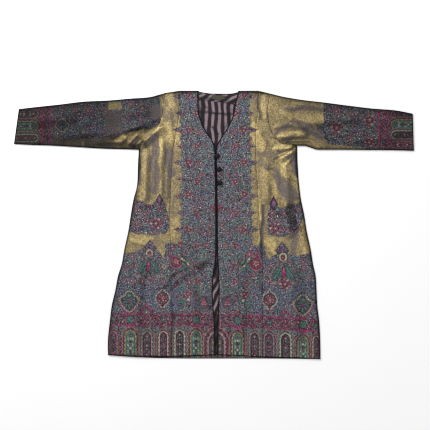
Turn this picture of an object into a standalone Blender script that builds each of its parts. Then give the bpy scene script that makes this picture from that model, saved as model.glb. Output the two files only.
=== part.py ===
"""A long jacket of woven pashmina, laid flat on its back with the front up.

The back and the undersides of both sleeves lie flat on z = 0. The lining lies on the back,
the two fronts lie on the lining, and every cloth piece is a wall with its largest folds.

Tables are in millimetres, as a tailor would chalk them on a table: "across" is measured
from the centre line, to the right as one looks down on the jacket, and "down" is measured
from the level of the shoulders at the neck towards the hem. Left and right are as seen
from above, with the neck at the top.
"""

import math
from collections import namedtuple

import bmesh
import bpy
import numpy as np

MM = 0.001

# Middle of the laid-out jacket, which is the origin of the part.
MIDDLE_ACROSS = 1.5
MIDDLE_DOWN = 469.0

# Cloth, lining and trim.
SHELL_WALL = 1.8
LINING_WALL = 1.0
LABEL_WALL = 1.0
GAP = 0.3
BINDING_WIDTH = 3.8
LINING_INSET = 16.0
SEAM_SLOPE = 8.0
FOLD_EDGE = 22.0

# Heights of the layers where they lie flat. A sleeve's folded edge is as tall as all of them.
LINING_LOW = SHELL_WALL + GAP
FRONT_LOW = LINING_LOW + LINING_WALL + GAP
SLEEVE_EDGE_RADIUS = (FRONT_LOW + SHELL_WALL) / 2

# How finely each piece is divided.
ARMHOLE_ROWS = 12
SIDE_ROWS = 24
PANEL_COLUMNS = 7
SEAM_COLUMN = 0.07
SLEEVE_RINGS = 21
SLEEVE_END_TURNS = 3
UNDER_STEP = 2

Side = namedtuple("Side", "down left right")
SIDE_SEAMS = [
    Side(259, -264, 294),
    Side(329, -267, 299),
    Side(382, -280, 306),
    Side(434, -289, 317),
    Side(486, -297, 325),
    Side(556, -312, 340),
    Side(606, -321, 348),
    Side(648, -334, 357),
    Side(696, -343, 360),
    Side(752, -356, 363),
    Side(802, -362, 369),
    Side(872, -369, 373),
    Side(940, -368, 374),
]

Front = namedtuple("Front", "down seam_left edge_left edge_right seam_right")
FRONTS = [
    Front(0, -118, -53, 89, 158),
    Front(42, -119, -53, 76, 157),
    Front(77, -120, -51, 70, 156),
    Front(102, -123, -44, 62, 152),
    Front(130, -127, -33, 48, 149),
    Front(161, -133, -12, 28, 148),
    Front(189, -138, 3, 12, 148),
    Front(206, -142, 6, 8.5, 148),
    Front(259, -145, 7, 9, 149),
    Front(329, -149, 9, 11, 154),
    Front(382, -151, 9, 11, 157),
    Front(434, -152, 10, 12, 159),
    Front(486, -152, 10, 12, 163),
    Front(556, -149, 10, 13, 170),
    Front(606, -148, 7, 15, 172),
    Front(648, -147, 0, 17, 172),
    Front(696, -145, -3, 18, 172),
    Front(752, -145, -1, 17, 172),
    Front(802, -144, 4, 15, 172),
    Front(872, -144, 6, 14, 172),
    Front(940, -144, 7, 14, 172),
]

Point = namedtuple("Point", "across down")
ARMHOLE_LEFT = [
    Point(-166, 7),
    Point(-175, 46),
    Point(-178, 79),
    Point(-193, 121),
    Point(-218, 150),
    Point(-245, 180),
    Point(-261, 206),
]
ARMHOLE_RIGHT = [
    Point(199, 10),
    Point(192, 46),
    Point(189, 79),
    Point(192, 113),
    Point(201, 138),
    Point(214, 162),
    Point(236, 178),
    Point(261, 187),
    Point(292, 192),
]
SLEEVE_TOP_LEFT = [
    Point(-680, 64),
    Point(-621, 57),
    Point(-537, 48),
    Point(-453, 38),
    Point(-369, 34),
    Point(-285, 27),
    Point(-222, 22),
    Point(-187, 13),
    Point(-166, 7),
]
SLEEVE_FOOT_LEFT = [
    Point(-697, 186),
    Point(-642, 189),
    Point(-558, 192),
    Point(-474, 197),
    Point(-390, 202),
    Point(-320, 204),
    Point(-261, 206),
]
SLEEVE_TOP_RIGHT = [
    Point(696, 80),
    Point(639, 69),
    Point(555, 62),
    Point(471, 52),
    Point(387, 41),
    Point(303, 31),
    Point(240, 20),
    Point(199, 10),
]
SLEEVE_FOOT_RIGHT = [
    Point(700, 210),
    Point(639, 208),
    Point(548, 207),
    Point(443, 206),
    Point(366, 206),
    Point(338, 198),
    Point(317, 192),
    Point(292, 192),
]
FRONT_HEM_LEFT = [Point(-368, 924), Point(-257, 931), Point(-144, 930), Point(7, 924)]
FRONT_HEM_RIGHT = [Point(14, 924), Point(93, 926), Point(172, 931), Point(303, 934), Point(374, 938)]
BACK_HEM = [Point(-368, 924), Point(-257, 932), Point(-65, 936), Point(180, 936), Point(374, 938)]
NECKLINE = [Point(-51, 3), Point(-33, 6), Point(-12, 9), Point(41, 10), Point(66, 9), Point(87, 4)]
FACING_SEAM = [Point(-60, 30), Point(-2, 37), Point(40, 41), Point(90, 49)]
LABEL_TOP_LEFT = Point(-6, 15)
LABEL_WIDTH = 46
LABEL_HEIGHT = 14

Fold = namedtuple("Fold", "across down to_across to_down width height")
FOLDS = [
    # Bunched cloth at the left armpit, and the long creases of the left sleeve.
    Fold(-320, 158, -268, 196, 11, 9),
    Fold(-254, 189, -177, 126, 13, 8),
    Fold(-222, 112, -404, 172, 16, 8),
    Fold(-530, 158, -355, 144, 15, 6),
    Fold(-642, 108, -485, 94, 17, 5),
    # Bunched cloth at the right armpit, and the creases of the right sleeve.
    Fold(289, 208, 233, 242, 11, 9),
    Fold(278, 197, 212, 207, 10, 8),
    Fold(229, 161, 324, 158, 11, 8),
    Fold(240, 74, 324, 150, 13, 7),
    Fold(303, 116, 520, 94, 17, 6),
    Fold(485, 172, 646, 158, 17, 5),
    # Soft upright folds of the chest.
    Fold(-233, 214, -240, 406, 13, 6),
    Fold(-180, 178, -184, 402, 12, 6),
    Fold(250, 248, 261, 396, 13, 6),
    Fold(184, 242, 191, 388, 13, 5),
    # Slanting folds at the hips.
    Fold(299, 438, 331, 584, 13, 6),
    Fold(-180, 690, -26, 595, 13, 5),
    Fold(257, 508, 320, 458, 11, 5),
    # Soft upright folds of the skirt.
    Fold(-261, 598, -275, 889, 20, 6),
    Fold(-75, 662, -68, 889, 19, 5),
    Fold(96, 598, 93, 889, 19, 5),
    Fold(271, 626, 292, 889, 20, 6),
]

Button = namedtuple("Button", "across down")
BUTTONS = [Button(13.5, 229), Button(20, 275), Button(23, 322)]
BUTTON_RADIUS = 9.0
BUTTON_SHANK_RADIUS = 4.0
BUTTON_SHANK_HEIGHT = 3.4
BUTTON_DOME_HEIGHT = 6.0
LOOP_CORD_RADIUS = 1.1
LOOP_CLEARANCE = 0.5

Finish = namedtuple("Finish", "colour roughness metallic")
FINISHES = {
    "shawl_cloth": Finish((0.17, 0.14, 0.12), 0.75, 0.0),
    "lining_stripe": Finish((0.16, 0.11, 0.13), 0.45, 0.0),
    "black_binding": Finish((0.012, 0.010, 0.012), 0.6, 0.0),
    "label_weave": Finish((0.05, 0.045, 0.035), 0.55, 0.0),
    "dark_button": Finish((0.02, 0.016, 0.02), 0.3, 0.0),
}


def clear_scene():
    for thing in list(bpy.data.objects):
        bpy.data.objects.remove(thing, do_unlink=True)


def material(name):
    """The named finish as a plain material, made once."""
    found = bpy.data.materials.get(name)
    if found:
        return found
    finish = FINISHES[name]
    made = bpy.data.materials.new(name)
    made.use_nodes = True
    shader = made.node_tree.nodes["Principled BSDF"]
    shader.inputs["Base Color"].default_value = (*finish.colour, 1)
    shader.inputs["Roughness"].default_value = finish.roughness
    shader.inputs["Metallic"].default_value = finish.metallic
    return made


def place(across, down, height):
    """A point of the chalked layout as metres in the part's frame."""
    return ((across - MIDDLE_ACROSS) * MM, (MIDDLE_DOWN - down) * MM, height * MM)


def finish_object(bm, name, finish, smooth=True):
    """Turns a closed bmesh into a named object with its faces outwards."""
    bmesh.ops.recalc_face_normals(bm, faces=bm.faces[:])
    mesh = bpy.data.meshes.new(name)
    bm.to_mesh(mesh)
    bm.free()
    if smooth:
        mesh.shade_smooth()
        mesh.set_sharp_from_angle(angle=math.radians(50))
    mesh.materials.append(material(finish))
    made = bpy.data.objects.new(name, mesh)
    bpy.context.scene.collection.objects.link(made)
    return made


def ease(value):
    """0 below 0, 1 above 1, and a smooth step between."""
    value = np.clip(value, 0.0, 1.0)
    return value * value * (3.0 - 2.0 * value)


def slopes(x, y):
    """Slopes for a curve through the table that never overshoots it."""
    step = np.diff(x)
    rise = np.diff(y) / step
    slope = np.concatenate([rise[:1], (rise[1:] + rise[:-1]) / 2, rise[-1:]])
    for i in range(len(step)):
        if rise[i] == 0:
            slope[i] = slope[i + 1] = 0.0
            continue
        before, after = slope[i] / rise[i], slope[i + 1] / rise[i]
        size = math.hypot(before, after)
        if size > 3:
            slope[i] = 3 * before / size * rise[i]
            slope[i + 1] = 3 * after / size * rise[i]
    return slope


def curve(at, x, y):
    """Reads a smooth curve through the points x, y at the places at."""
    x, y = np.asarray(x, float), np.asarray(y, float)
    at = np.clip(np.asarray(at, float), x[0], x[-1])
    slope = slopes(x, y)
    i = np.clip(np.searchsorted(x, at) - 1, 0, len(x) - 2)
    span = x[i + 1] - x[i]
    t = (at - x[i]) / span
    return (
        (1 + 2 * t) * (1 - t) ** 2 * y[i]
        + t * (1 - t) ** 2 * span * slope[i]
        + t * t * (3 - 2 * t) * y[i + 1]
        + t * t * (t - 1) * span * slope[i + 1]
    )


def line_at(points, share):
    """Points of a smooth line at the given shares of its length, as an array of across, down."""
    points = np.array(points, float)
    run = np.concatenate([[0], np.cumsum(np.hypot(*np.diff(points, axis=0).T))])
    at = np.asarray(share, float) * run[-1]
    return np.stack([curve(at, run, points[:, 0]), curve(at, run, points[:, 1])], axis=-1)


def column(rows, name):
    return [getattr(row, name) for row in rows]


def front_line(name, down):
    """Across of a seam or front edge at each level down."""
    return curve(down, column(FRONTS, "down"), column(FRONTS, name))


def side_line(name, foot, armpit, rows):
    """A side seam from the armpit to the hem, in equal steps down."""
    down = np.linspace(armpit.down, foot.down, rows + 1)
    levels = [armpit.down, *column(SIDE_SEAMS, "down")]
    across = [armpit.across, *column(SIDE_SEAMS, name)]
    return np.stack([curve(down, levels, across), down], axis=-1)


def outer_line(side):
    """The outer edge of a front: down the armhole, then down the side seam."""
    armhole = ARMHOLE_LEFT if side == "left" else ARMHOLE_RIGHT
    hem = FRONT_HEM_LEFT[0] if side == "left" else FRONT_HEM_RIGHT[-1]
    upper = line_at(armhole, np.linspace(0, 1, ARMHOLE_ROWS + 1))
    lower = side_line(side, hem, armhole[-1], SIDE_ROWS)
    return np.concatenate([upper, lower[1:]])


def outline_lines():
    """The edges where front and back meet: shoulders, sleeve folds and side seams."""
    fine = np.linspace(0, 1, 40)
    lines = [
        line_at(points, fine)
        for points in (SLEEVE_TOP_LEFT, SLEEVE_FOOT_LEFT, SLEEVE_TOP_RIGHT, SLEEVE_FOOT_RIGHT)
    ]
    lines.append(outer_line("left")[ARMHOLE_ROWS:])
    lines.append(outer_line("right")[ARMHOLE_ROWS:])
    lines.append(np.array([ARMHOLE_LEFT[0], Point(FRONTS[0].edge_left, 0)], float))
    lines.append(np.array([Point(FRONTS[0].edge_right, 0), ARMHOLE_RIGHT[0]], float))
    return lines


def distance_to(lines, points):
    """Distance from each point to the nearest of several broken lines."""
    best = np.full(len(points), np.inf)
    for line in lines:
        for start, end in zip(line[:-1], line[1:]):
            run = end - start
            share = np.clip((points - start) @ run / (run @ run), 0, 1)
            away = np.hypot(*(points - start - share[:, None] * run).T)
            best = np.minimum(best, away)
    return best


def fold_height(points):
    """Height of the folds over each point, in millimetres."""
    height = np.zeros(len(points))
    for fold in FOLDS:
        start = np.array([fold.across, fold.down], float)
        run = np.array([fold.to_across, fold.to_down], float) - start
        share = (points - start) @ run / (run @ run)
        away = np.hypot(*(points - start - np.clip(share, 0, 1)[:, None] * run).T)
        taper = ease((share + 0.15) / 0.35) * ease((1.15 - share) / 0.35)
        height += fold.height * taper * np.exp(-((away / fold.width) ** 2))
    return height


def lift(points):
    """How far folds raise the cloth above where it would lie flat."""
    return fold_height(points) * ease(distance_to(OUTLINE, points) / FOLD_EDGE)


def front_underside(points):
    """Underside of a front: down on the back at its seams, on the lining inside them."""
    inside = ease(distance_to(OUTLINE, points) / SEAM_SLOPE)
    return LINING_LOW + (FRONT_LOW - LINING_LOW) * inside + lift(points)


OUTLINE = outline_lines()


def cloth_wall(name, finish, plan, underside, wall):
    """A wall of cloth over a grid of plan points, thick enough upwards from its underside."""
    rows, columns = plan.shape[:2]
    bm = bmesh.new()
    made = bmesh.ops.create_grid(bm, x_segments=columns - 1, y_segments=rows - 1, size=0.5)
    for vert in made["verts"]:
        j = round((vert.co.x + 0.5) * (columns - 1))
        i = round((vert.co.y + 0.5) * (rows - 1))
        vert.co = place(*plan[i, j], underside[i, j])
    raised = bmesh.ops.extrude_face_region(bm, geom=bm.faces[:])["geom"]
    raised = [part for part in raised if isinstance(part, bmesh.types.BMVert)]
    bmesh.ops.translate(bm, verts=raised, vec=(0, 0, wall * MM))
    return finish_object(bm, name, finish)


def across_grid(first, last, shares):
    """Plan points between two lines, which have a point for each row."""
    shares = np.asarray(shares, float)[None, :, None]
    return first[:, None, :] * (1 - shares) + last[:, None, :] * shares


def draped_panel(name, finish, plan):
    flat = plan.reshape(-1, 2)
    return cloth_wall(name, finish, plan, front_underside(flat).reshape(plan.shape[:2]), SHELL_WALL)


def flat_shape(name, finish, points, low, wall):
    """A flat piece cut to an outline, lying at one height."""
    bm = bmesh.new()
    corners = [bm.verts.new(place(*point, low)) for point in points]
    bm.faces.new(corners)
    raised = bmesh.ops.extrude_face_region(bm, geom=bm.faces[:])["geom"]
    raised = [part for part in raised if isinstance(part, bmesh.types.BMVert)]
    bmesh.ops.translate(bm, verts=raised, vec=(0, 0, wall * MM))
    return finish_object(bm, name, finish, smooth=False)


def inset_down(line, amount):
    """A line measured across, moved by amount at right angles to itself as far as its slope asks."""
    slope = np.gradient(line[:, 0], line[:, 1])
    moved = line.copy()
    moved[:, 0] += amount * np.sqrt(1 + slope**2)
    return moved


def hem_level(hem, across):
    order = sorted(hem)
    return curve(across, column(order, "across"), column(order, "down"))


def front_lines(side):
    """Lines of a front, each with a point for every row: outer edge, long seam, front edge."""
    hem = FRONT_HEM_LEFT if side == "left" else FRONT_HEM_RIGHT
    outer = outer_line(side)
    outer[-1, 1] -= BINDING_WIDTH + GAP
    share = (outer[:, 1] - outer[0, 1]) / (outer[-1, 1] - outer[0, 1])
    lines = [outer]
    for name in (f"seam_{side}", f"edge_{side}"):
        foot_across = getattr(FRONTS[-1], name)
        foot = hem_level(hem, foot_across) - BINDING_WIDTH - GAP
        down = share * foot
        lines.append(np.stack([front_line(name, down), down], axis=-1))
    return lines


def fronts(side):
    """Both pieces of a front, and the binding of its front edge and hem."""
    inward = 1 if side == "left" else -1
    outer, seam, edge = front_lines(side)
    shares = np.linspace(0, 1, PANEL_COLUMNS + 1)
    side_shares = np.concatenate([[0], np.linspace(SEAM_COLUMN, 1, PANEL_COLUMNS)])
    seam_outer = inset_down(seam, -inward * GAP / 2)
    seam_inner = inset_down(seam, inward * GAP / 2)
    edge_seam = inset_down(edge, -inward * (BINDING_WIDTH + GAP))
    edge_fold = inset_down(edge, -inward * BINDING_WIDTH)
    side_plan = across_grid(outer, seam_outer, side_shares)
    centre_plan = across_grid(seam_inner, edge_seam, shares)
    draped_panel(f"front_{side}_side", "shawl_cloth", side_plan)
    draped_panel(f"front_{side}_centre", "shawl_cloth", centre_plan)
    draped_panel(f"edge_binding_{side}", "black_binding", across_grid(edge_fold, edge, [0, 1]))
    top = np.concatenate([side_plan[-1], centre_plan[-1], edge[-1:]])
    upper = top + [0, GAP]
    lower = top + [0, GAP + BINDING_WIDTH]
    draped_panel(f"hem_binding_{side}", "black_binding", across_grid(upper, lower, [0, 1]))


def back_outline():
    """The back, with the same outer edge as the fronts, its own hem and the neckline."""
    left = outer_line("left")
    right = outer_line("right")
    left_upper = left[: ARMHOLE_ROWS + 1 : UNDER_STEP]
    right_upper = right[: ARMHOLE_ROWS + 1 : UNDER_STEP]
    left_lower = left[ARMHOLE_ROWS + 1 :]
    right_lower = right[ARMHOLE_ROWS + 1 :]
    hem = line_at(BACK_HEM, np.linspace(0, 1, 15)) - [0, BINDING_WIDTH + GAP]
    neck = line_at(NECKLINE, np.linspace(0, 1, 11)) + [0, BINDING_WIDTH + GAP]
    left_lower[-1] = hem[0]
    right_lower[-1] = hem[-1]
    shoulder_left = [[FRONTS[0].edge_left, 0]]
    shoulder_right = [[FRONTS[0].edge_right, 0]]
    return np.concatenate([
        shoulder_left,
        left_upper,
        left_lower,
        hem[1:-1],
        right_lower[::-1],
        right_upper[::-1],
        shoulder_right,
        neck[::-1],
    ])


def lining_outline():
    """The back lining: inset from the seams, with the curved facing seam at the top."""
    left = outer_line("left")[4:]
    right = outer_line("right")[4:]
    left[:, 0] += LINING_INSET
    right[:, 0] -= LINING_INSET
    left = left[left[:, 1] > FACING_SEAM[0].down + LINING_INSET]
    right = right[right[:, 1] > FACING_SEAM[-1].down + LINING_INSET]
    left[-1, 1] -= LINING_INSET
    right[-1, 1] -= LINING_INSET
    hem = line_at(BACK_HEM, np.linspace(0, 1, 9))[1:-1] - [0, LINING_INSET]
    seam = line_at(FACING_SEAM, np.linspace(0, 1, 7)) + [0, GAP / 2]
    return np.concatenate([left, hem, right[::-1], seam[::-1]])


def facing_outline():
    """The facing inside the back neck, clear of the shoulder seams beside it."""
    seam = line_at(FACING_SEAM, np.linspace(0, 1, 7)) - [0, GAP / 2]
    neck = line_at(NECKLINE, np.linspace(0.03, 0.97, 11)) + [0, BINDING_WIDTH + GAP]
    return np.concatenate([seam, neck[::-1]])


def strip_between(name, finish, first, second, low, wall):
    plan = across_grid(first, second, [0, 1])
    return cloth_wall(name, finish, plan, np.full(plan.shape[:2], low), wall)


def back_and_lining():
    flat_shape("back", "shawl_cloth", back_outline(), 0, SHELL_WALL)
    flat_shape("back_lining", "lining_stripe", lining_outline(), LINING_LOW, LINING_WALL)
    flat_shape("back_neck_facing", "lining_stripe", facing_outline(), LINING_LOW, LINING_WALL)
    hem = line_at(BACK_HEM, np.linspace(0, 1, 15))
    strip_between("hem_binding_back", "black_binding", hem - [0, BINDING_WIDTH], hem, 0, SHELL_WALL)
    neck = line_at(NECKLINE, np.linspace(0.02, 0.98, 11))
    tall = LINING_LOW + LINING_WALL
    strip_between("neck_binding", "black_binding", neck, neck + [0, BINDING_WIDTH], 0, tall)
    across, down = LABEL_TOP_LEFT
    corners = [
        (across, down),
        (across, down + LABEL_HEIGHT),
        (across + LABEL_WIDTH, down + LABEL_HEIGHT + 1),
        (across + LABEL_WIDTH, down + 1),
    ]
    flat_shape("label", "label_weave", corners, FRONT_LOW, LABEL_WALL)


def patch(borders, along, share):
    """Plan points inside four border lines: along from cuff to armhole, share from top to foot."""
    top, foot, cuff, armhole = borders
    a, s = along[..., None], share[..., None]
    blend = (1 - s) * top(along) + s * foot(along) + (1 - a) * cuff(share) + a * armhole(share)
    corners = (1 - s) * ((1 - a) * top(0) + a * top(1)) + s * ((1 - a) * foot(0) + a * foot(1))
    return blend - corners


def sleeve_ring():
    """Places round a flattened sleeve: share of its width, and the turn of its folded edges."""
    places = []
    for step in range(ARMHOLE_ROWS + 1):
        places.append((step / ARMHOLE_ROWS, math.pi / 2))
    for step in range(1, SLEEVE_END_TURNS):
        places.append((1, math.pi / 2 - math.pi * step / SLEEVE_END_TURNS))
    for step in range(ARMHOLE_ROWS, -1, -UNDER_STEP):
        places.append((step / ARMHOLE_ROWS, -math.pi / 2))
    for step in range(1, SLEEVE_END_TURNS):
        places.append((0, -math.pi / 2 - math.pi * step / SLEEVE_END_TURNS))
    return np.array(places)


def sleeve_skin(borders, along, radius):
    """Plan and height of a sleeve's skin, ring by ring, whose folded edges have the given radius."""
    share, turn = sleeve_ring().T
    along, share = np.meshgrid(along, share, indexing="ij")
    turn = np.broadcast_to(turn, along.shape)
    top, foot = borders[:2]
    width = np.hypot(*np.moveaxis(foot(along) - top(along), -1, 0))
    across = np.clip(share * width, SLEEVE_EDGE_RADIUS, width - SLEEVE_EDGE_RADIUS)
    across = across + np.where(share > 0.5, 1, -1) * np.abs(np.cos(turn)) * radius
    plan = patch(borders, along, across / width)
    raised = lift(plan.reshape(-1, 2)).reshape(along.shape)
    height = SLEEVE_EDGE_RADIUS + radius * np.sin(turn) + np.where(turn > 0, raised, 0)
    return plan, height


def tube(name, finish, borders, start, end, rings):
    """A flattened tube of cloth between two places along the sleeve, open at both ends."""
    along = np.linspace(start, end, rings + 1)
    outer, outer_height = sleeve_skin(borders, along, SLEEVE_EDGE_RADIUS)
    inner, inner_height = sleeve_skin(borders, along, SLEEVE_EDGE_RADIUS - SHELL_WALL)
    count = outer.shape[1]
    bm = bmesh.new()
    ring_of = bm.verts.layers.int.new("ring")
    place_of = bm.verts.layers.int.new("place")
    for vert in bmesh.ops.create_grid(bm, x_segments=count, y_segments=rings, size=0.5)["verts"]:
        i = vert[ring_of] = round((vert.co.y + 0.5) * rings)
        j = vert[place_of] = round((vert.co.x + 0.5) * count) % count
        vert.co = place(*outer[i, j], outer_height[i, j])
    bmesh.ops.remove_doubles(bm, verts=bm.verts[:], dist=1e-7)
    for part in bmesh.ops.extrude_face_region(bm, geom=bm.faces[:])["geom"]:
        if isinstance(part, bmesh.types.BMVert):
            i, j = part[ring_of], part[place_of]
            part.co = place(*inner[i, j], inner_height[i, j])
    return finish_object(bm, name, finish)


def sleeve(side):
    """A sleeve and the binding of its cuff."""
    outward = -1 if side == "left" else 1
    tops = SLEEVE_TOP_LEFT if side == "left" else SLEEVE_TOP_RIGHT
    feet = SLEEVE_FOOT_LEFT if side == "left" else SLEEVE_FOOT_RIGHT
    armhole = ARMHOLE_LEFT if side == "left" else ARMHOLE_RIGHT
    cuff_line = [tops[0], feet[0]]
    clear = np.array([outward * GAP, -GAP])
    borders = (
        lambda along: line_at(tops, along) + clear,
        lambda along: line_at(feet, along) + clear,
        lambda share: line_at(cuff_line, share) + clear,
        lambda share: line_at(armhole, share) + clear,
    )
    length = abs(tops[-1].across - tops[0].across)
    cuff_seam = BINDING_WIDTH / length
    tube(f"cuff_binding_{side}", "black_binding", borders, 0, cuff_seam, 1)
    tube(f"sleeve_{side}", "shawl_cloth", borders, cuff_seam + GAP / length, 1, SLEEVE_RINGS)


def turned(name, finish, centre, profile, steps=20):
    """A solid turned about an upright axis from a profile of (radius, height)."""
    bm = bmesh.new()
    verts = [bm.verts.new((radius * MM, 0, height * MM)) for radius, height in profile]
    edges = [bm.edges.new(pair) for pair in zip(verts[:-1], verts[1:])]
    bmesh.ops.spin(
        bm, geom=verts + edges, axis=(0, 0, 1), cent=(0, 0, 0),
        angle=2 * math.pi, steps=steps, use_merge=True,
    )
    bmesh.ops.remove_doubles(bm, verts=bm.verts[:], dist=1e-6)
    bmesh.ops.translate(bm, verts=bm.verts[:], vec=place(*centre, 0))
    return finish_object(bm, name, finish)


def cloth_top(across, down):
    """Top of the front at a place."""
    return front_underside(np.array([[across, down]], float))[0] + SHELL_WALL


def button(number, spot):
    low = cloth_top(*spot) + GAP
    high = low + BUTTON_SHANK_HEIGHT
    rim = 0.5
    profile = [
        (0, low),
        (BUTTON_SHANK_RADIUS, low),
        (BUTTON_SHANK_RADIUS, high),
        (BUTTON_RADIUS - rim, high),
        (BUTTON_RADIUS, high + rim),
    ]
    for step in range(1, 6):
        turn = math.pi / 2 * step / 6
        profile.append(
            (BUTTON_RADIUS * math.cos(turn), high + rim + (BUTTON_DOME_HEIGHT - rim) * math.sin(turn))
        )
    profile.append((0, high + BUTTON_DOME_HEIGHT))
    turned(f"button_{number}", "dark_button", spot, profile)


def button_loop(number, spot):
    """A cord from the left front edge round the button's shank and back."""
    edge = float(front_line("edge_left", spot.down))
    start = edge - BINDING_WIDTH / 2
    bend = BUTTON_SHANK_RADIUS + LOOP_CORD_RADIUS + LOOP_CLEARANCE
    height = cloth_top(*spot) + GAP + LOOP_CORD_RADIUS
    centre = max(spot.across, start + 1)
    route = [(start, spot.down - bend)]
    for step in range(9):
        turn = math.pi / 2 - math.pi * step / 8
        route.append((centre + bend * math.cos(turn), spot.down - bend * math.sin(turn)))
    route.append((start, spot.down + bend))
    data = bpy.data.curves.new(f"button_loop_{number}", "CURVE")
    data.dimensions = "3D"
    data.bevel_depth = LOOP_CORD_RADIUS * MM
    data.bevel_resolution = 2
    data.use_fill_caps = True
    spline = data.splines.new("POLY")
    spline.points.add(len(route) - 1)
    for point, spot_on_route in zip(spline.points, route):
        point.co = (*place(*spot_on_route, height), 1)
    data.materials.append(material("black_binding"))
    made = bpy.data.objects.new(f"button_loop_{number}", data)
    bpy.context.scene.collection.objects.link(made)


def build():
    clear_scene()
    back_and_lining()
    for side in ("left", "right"):
        fronts(side)
        sleeve(side)
    for number, spot in enumerate(BUTTONS, 1):
        button(number, spot)
        button_loop(number, spot)


build()
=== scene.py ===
# %% [markdown]
# # A long jacket of woven pashmina, laid flat
# The jacket lies on its back on a table and the camera looks straight down on it. It is cut
# from a patterned shawl cloth: a shot gold ground that turns mauve where it bends, flowered
# borders down both fronts, and a magenta band with a row of arches along the hem.
# The solids that carry the sizes come from the imported model, which is loaded first and never
# moved. This script lays finer cloth over them, dyes, weaves and sews it, and paints the
# cloth's sheen and shade into its colours.

import math
from collections import namedtuple
from functools import reduce

import bmesh
import bpy
import numpy as np
from mathutils import Matrix


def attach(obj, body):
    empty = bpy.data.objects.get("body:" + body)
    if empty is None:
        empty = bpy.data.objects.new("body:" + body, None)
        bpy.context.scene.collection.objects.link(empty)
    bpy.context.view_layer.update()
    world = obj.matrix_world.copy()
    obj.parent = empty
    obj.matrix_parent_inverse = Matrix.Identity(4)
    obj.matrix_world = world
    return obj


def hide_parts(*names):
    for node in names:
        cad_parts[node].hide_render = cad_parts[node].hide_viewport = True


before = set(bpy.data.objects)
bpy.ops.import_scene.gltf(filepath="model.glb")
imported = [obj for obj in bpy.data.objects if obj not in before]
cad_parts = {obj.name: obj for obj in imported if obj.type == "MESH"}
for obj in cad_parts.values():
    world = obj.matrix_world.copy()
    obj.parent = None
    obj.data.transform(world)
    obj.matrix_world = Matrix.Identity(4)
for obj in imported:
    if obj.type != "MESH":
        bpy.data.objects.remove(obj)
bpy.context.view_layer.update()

# %% [markdown]
# ## The tailor's layout
# Everything on the cloth is placed as a tailor would chalk it on the table: "across" is
# millimetres to the right of the centre line, "down" is millimetres from the shoulders at the
# neck towards the hem. One function turns such a place into metres, so seams, folds and
# flowers all use the same chalk marks as the solids do.

# %% Sizes
MM = 0.001
MIDDLE_ACROSS = 1.5
MIDDLE_DOWN = 469.0
SHELL_WALL = 1.8
CLOTH = 1.1
LINING_WALL = 1.0
GAP = 0.3
BINDING_WIDTH = 2.9
LINING_INSET = 16.0
SEAM_SLOPE = 8.0
FOLD_EDGE = 22.0
LINING_LOW = SHELL_WALL + GAP
FRONT_LOW = LINING_LOW + LINING_WALL + GAP
SLEEVE_EDGE_RADIUS = (FRONT_LOW + SHELL_WALL) / 2

ARMHOLE_ROWS = 96
SIDE_ROWS = 324
SIDE_COLUMNS = 84
CENTRE_COLUMNS = 62
SLEEVE_RINGS = 216
SLEEVE_COLUMNS = 78
UNDER_COLUMNS = 34
EDGE_TURNS = 5


def place(across, down, height):
    """Chalk marks, in millimetres, as metres in the frame of the solids."""
    across, down, height = np.broadcast_arrays(across, down, height)
    return np.stack(
        [(across - MIDDLE_ACROSS) * MM, (MIDDLE_DOWN - down) * MM, height * MM], axis=-1
    )


print("a front lies", FRONT_LOW, "mm above the table")

# %% [markdown]
# ## Seams and edges
# Each seam is a short table of chalk marks with a smooth curve through them. A curve that
# never swings past its marks keeps a seam from rippling between two of them.

# %% Tables of the cut
Side = namedtuple("Side", "down left right")
SIDE_SEAMS = [Side(*row) for row in (
    (259, -264, 294), (329, -267, 299), (382, -280, 306), (434, -289, 317), (486, -297, 325),
    (556, -312, 340), (606, -321, 348), (648, -334, 357), (696, -343, 360), (752, -356, 363),
    (802, -362, 369), (872, -369, 373), (940, -368, 374),
)]

Front = namedtuple("Front", "down seam_left edge_left edge_right seam_right")
FRONTS = [Front(*row) for row in (
    (0, -118, -53, 89, 158), (42, -119, -53, 76, 157), (77, -120, -51, 70, 156),
    (102, -123, -44, 62, 152), (130, -127, -33, 48, 149), (161, -133, -12, 28, 148),
    (189, -138, 3, 12, 148), (206, -142, 6, 8.5, 148), (259, -145, 7, 9, 149),
    (329, -149, 9, 11, 154), (382, -151, 9, 11, 157), (434, -152, 10, 12, 159),
    (486, -152, 10, 12, 163), (556, -149, 10, 13, 170), (606, -148, 7, 15, 172),
    (648, -147, 0, 17, 172), (696, -145, -3, 18, 172), (752, -145, -1, 17, 172),
    (802, -144, 4, 15, 172), (872, -144, 6, 14, 172), (940, -144, 7, 14, 172),
)]

Point = namedtuple("Point", "across down")


def chalk(*marks):
    """Chalk marks on the cloth, each a place across and down."""
    return [Point(*mark) for mark in marks]


ARMHOLE = {
    "left": chalk(
        (-166, 7), (-175, 46), (-178, 79), (-193, 121), (-218, 150), (-245, 180), (-261, 206),
    ),
    "right": chalk(
        (199, 10), (192, 46), (189, 79), (192, 113), (201, 138), (214, 162), (236, 178),
        (261, 187), (292, 192),
    ),
}
SLEEVE_TOP = {
    "left": chalk(
        (-680, 64), (-621, 57), (-537, 48), (-453, 38), (-369, 34), (-285, 27), (-222, 22),
        (-187, 13), (-166, 7),
    ),
    "right": chalk(
        (696, 80), (639, 69), (555, 62), (471, 52), (387, 41), (303, 31), (240, 20), (199, 10),
    ),
}
SLEEVE_FOOT = {
    "left": chalk(
        (-697, 186), (-642, 189), (-558, 192), (-474, 197), (-390, 202), (-320, 204), (-261, 206),
    ),
    "right": chalk(
        (700, 210), (639, 208), (548, 207), (443, 206), (366, 206), (338, 198), (317, 192),
        (292, 192),
    ),
}
FRONT_HEM = {
    "left": chalk((-368, 924), (-257, 931), (-144, 930), (7, 924)),
    "right": chalk((14, 924), (93, 926), (172, 931), (303, 934), (374, 938)),
}
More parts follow.
